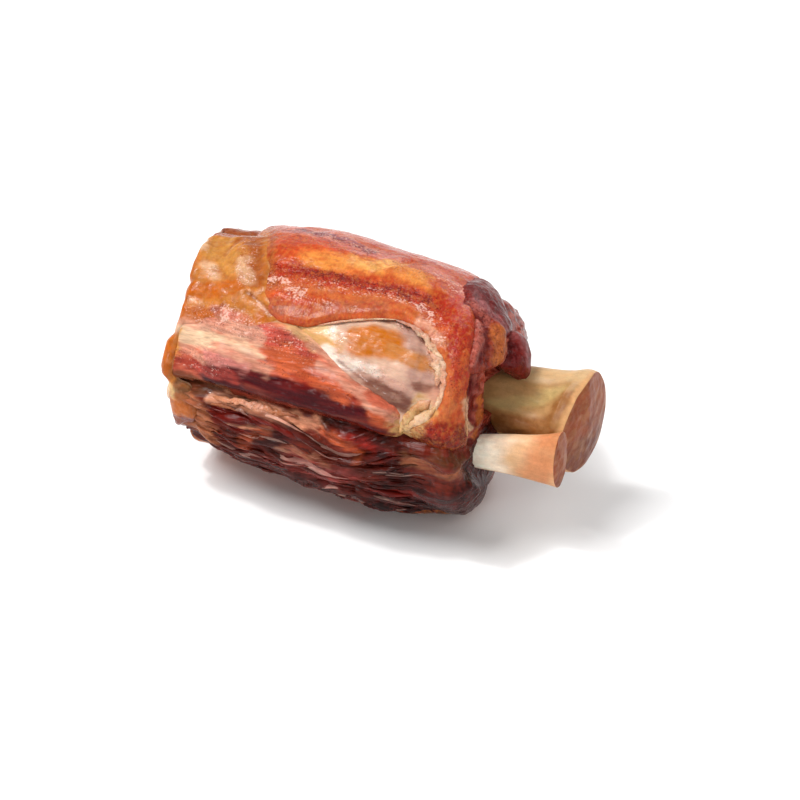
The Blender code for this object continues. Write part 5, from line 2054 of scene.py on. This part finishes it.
SLENDER_BONE = Bone(
    name="slender_bone_looks", node="slender_bone", slot=SLENDER_SLOT,
    stations=(-90, 44, 56, 68, 80, 89, 94),
    centre_y=(-25.5, -26, -25.5, -23.8, -23, -23.6, -24.2),
    centre_z=(-11, -10, -9.2, -8.7, -8, -6.6, -5.4),
    half_widths=(4.8, 4.8, 5.8, 6.2, 6.4, 6.3, 6.2),
    half_heights=(5, 5, 7.4, 8.8, 10.4, 12.2, 13.6),
    dome=0.8, tilt_y=0.16, tilt_z=0.0, tan_from=68.0, sides=96,
    paints=(
        Paint(((72, -70), (72, 300), (104, 300), (104, -70)),
              0, 9, Tone.BONE_TAN, 0.9, 0.25, 8, closed=True),
        Paint(((92, 100), (90, 30), (86, -20), (84, -70)), 3, 11, Tone.BONE_ORANGE, 0.9, 0.3, 8),
        Paint(((52, -50), (66, -54), (76, -58)), 4, 10, Tone.BONE_TAN, 0.6, 0.4, 8),
    ),
)


class LampKind(Enum):
    """How a lamp shines, by Blender's name for it."""

    EVEN = "SUN"
    SQUARE = "AREA"


@dataclass(frozen=True)
class Lamp:
    """A soft lamp: its place in metres, its width in metres or radians, and its power."""

    name: str
    place: Triple
    width: float
    power: float
    kind: LampKind = LampKind.SQUARE

    def hang(self, aim: Triple) -> None:
        """Hang the lamp.

        Args:
            aim: Where a square lamp points; an even one points at the frame's origin.
        """
        light = bpy.data.lights.new(self.name, self.kind.value)
        light.energy = self.power
        holder = bpy.data.objects.new(self.name, light)
        back = Vector(self.place)
        if self.kind is LampKind.EVEN:
            light.angle = self.width
        else:
            light.size = self.width
            holder.location = self.place
            back -= Vector(aim)
        holder.rotation_mode = "QUATERNION"
        holder.rotation_quaternion = back.to_track_quat("Z", "Y")
        bpy.context.scene.collection.objects.link(holder)


@dataclass(frozen=True)
class Studio:
    """Pale floor, soft lamps and the camera."""

    azimuth: float = 21.0
    elevation: float = 34.0
    distance: float = 1.1
    metres_per_pixel: float = 0.00043
    picture: int = 800
    sensor: float = 36.0
    look_right: float = 30.0
    look_down: float = 26.0
    wall_height: float = 0.05
    sky_height: float = 0.4
    wall_strength: float = 0.9
    sky_strength: float = 0.33
    floor_size: float = 6.0
    floor_grey: float = 0.88
    floor_roughness: float = 0.6
    aim: Triple = (0.0, 0.0, 0.05)
    lamps: tuple[Lamp, ...] = (
        Lamp("key", (-0.45, -0.34, 1.0), 0.5, 2.3, LampKind.EVEN),
        Lamp("back", (0.15, 0.75, 0.75), 0.5, 3.6),
        Lamp("spark", (-0.38, -0.2, 0.95), 0.08, 3.0),
        Lamp("fill", (0.7, -0.5, 0.75), 0.5, 2.0),
        Lamp("glint", (-0.33, -1.0, 0.28), 0.07, 1.5),
    )

    def build(self, form: Form) -> None:
        """Set up everything that isn't the knuckle.

        Args:
            form: The knuckle's form, whose origin the camera is set by.
        """
        scene = bpy.context.scene
        scene.view_settings.view_transform = "Standard"
        world = bpy.data.worlds.new("studio")
        world.use_nodes = True
        self.sky(world.node_tree)
        scene.world = world
        self.floor()
        self.camera(form)
        for lamp in self.lamps:
            lamp.hang(self.aim)

    def sky(self, tree: bpy.types.NodeTree) -> None:
        """Surround the floor with a white wall that grows dimmer overhead.

        Args:
            tree: The world's nodes.
        """
        background = tree.nodes["Background"]
        background.inputs["Color"].default_value = (1.0, 1.0, 1.0, 1.0)
        place = tree.nodes.new("ShaderNodeTexCoord")
        split = tree.nodes.new("ShaderNodeSeparateXYZ")
        tree.links.new(place.outputs["Generated"], split.inputs["Vector"])
        fade = tree.nodes.new("ShaderNodeMapRange")
        fade.interpolation_type = "SMOOTHSTEP"
        fade.inputs["From Min"].default_value = self.wall_height
        fade.inputs["From Max"].default_value = self.sky_height
        fade.inputs["To Min"].default_value = self.wall_strength
        fade.inputs["To Max"].default_value = self.sky_strength
        tree.links.new(split.outputs["Z"], fade.inputs["Value"])
        tree.links.new(fade.outputs["Result"], background.inputs["Strength"])

    def floor(self) -> None:
        """Lay the floor."""
        mesh = bpy.data.meshes.new("floor")
        sheet = bmesh.new()
        bmesh.ops.create_grid(sheet, x_segments=1, y_segments=1, size=self.floor_size)
        sheet.to_mesh(mesh)
        sheet.free()
        material = bpy.data.materials.new("pale_floor")
        material.use_nodes = True
        shader = material.node_tree.nodes["Principled BSDF"]
        shader.inputs["Base Color"].default_value = (*[self.floor_grey] * 3, 1.0)
        shader.inputs["Roughness"].default_value = self.floor_roughness
        mesh.materials.append(material)
        floor = bpy.data.objects.new("floor", mesh)
        bpy.context.scene.collection.objects.link(floor)

    def camera(self, form: Form) -> None:
        """Stand the camera where the photograph was taken from.

        Args:
            form: The knuckle's form, near whose origin the camera looks.
        """
        a, e = math.radians(self.azimuth), math.radians(self.elevation)
        back = Vector((math.sin(a) * math.cos(e), -math.cos(a) * math.cos(e), math.sin(e)))
        right = Vector((math.cos(a), math.sin(a), 0.0))
        up = back.cross(right)
        target = form.origin + (right * self.look_right - up * self.look_down) * self.metres_per_pixel
        lens = bpy.data.cameras.new("camera")
        lens.sensor_width = self.sensor
        lens.lens = self.distance / self.metres_per_pixel / self.picture * self.sensor
        camera = bpy.data.objects.new("camera", lens)
        camera.location = target + back * self.distance
        camera.rotation_mode = "QUATERNION"
        camera.rotation_quaternion = (-back).to_track_quat("-Z", "Y")
        bpy.context.scene.collection.objects.link(camera)
        bpy.context.scene.camera = camera


def knuckle_form() -> Form:
    """Read the knuckle's axis from the frame.

    Returns:
        The form, set where the CAD model has it.
    """
    sawn_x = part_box("shank_bone")[0].x - SHANK_BONE.cut_x * MM
    low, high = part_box("meat")
    middle_y = (low.y + high.y) / 2 - AXIS_SIDE_MM * MM
    return Form(Vector((sawn_x, middle_y, AXIS_HEIGHT_MM * MM)))


def main() -> None:
    """Build the looks of the knuckle around its frame."""
    logging.basicConfig(level=logging.INFO, format="%(message)s")
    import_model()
    form = knuckle_form()
    butcher = Butcher(form)
    for piece in (MeatCore(), LONG_MUSCLE, WINDOW_MUSCLE, AMBER_COLLAR, MAIN_RIND, TOP_LOBE, TONGUE,
                  HANGING_FLAP, Shreds(), FatTrim(), SHANK_BONE, SLENDER_BONE):
        made = piece.build(butcher)
        LOG.info("%s: %d vertices", made.name, len(made.data.vertices))
    Studio().build(form)


if __name__ == "__main__":
    main()
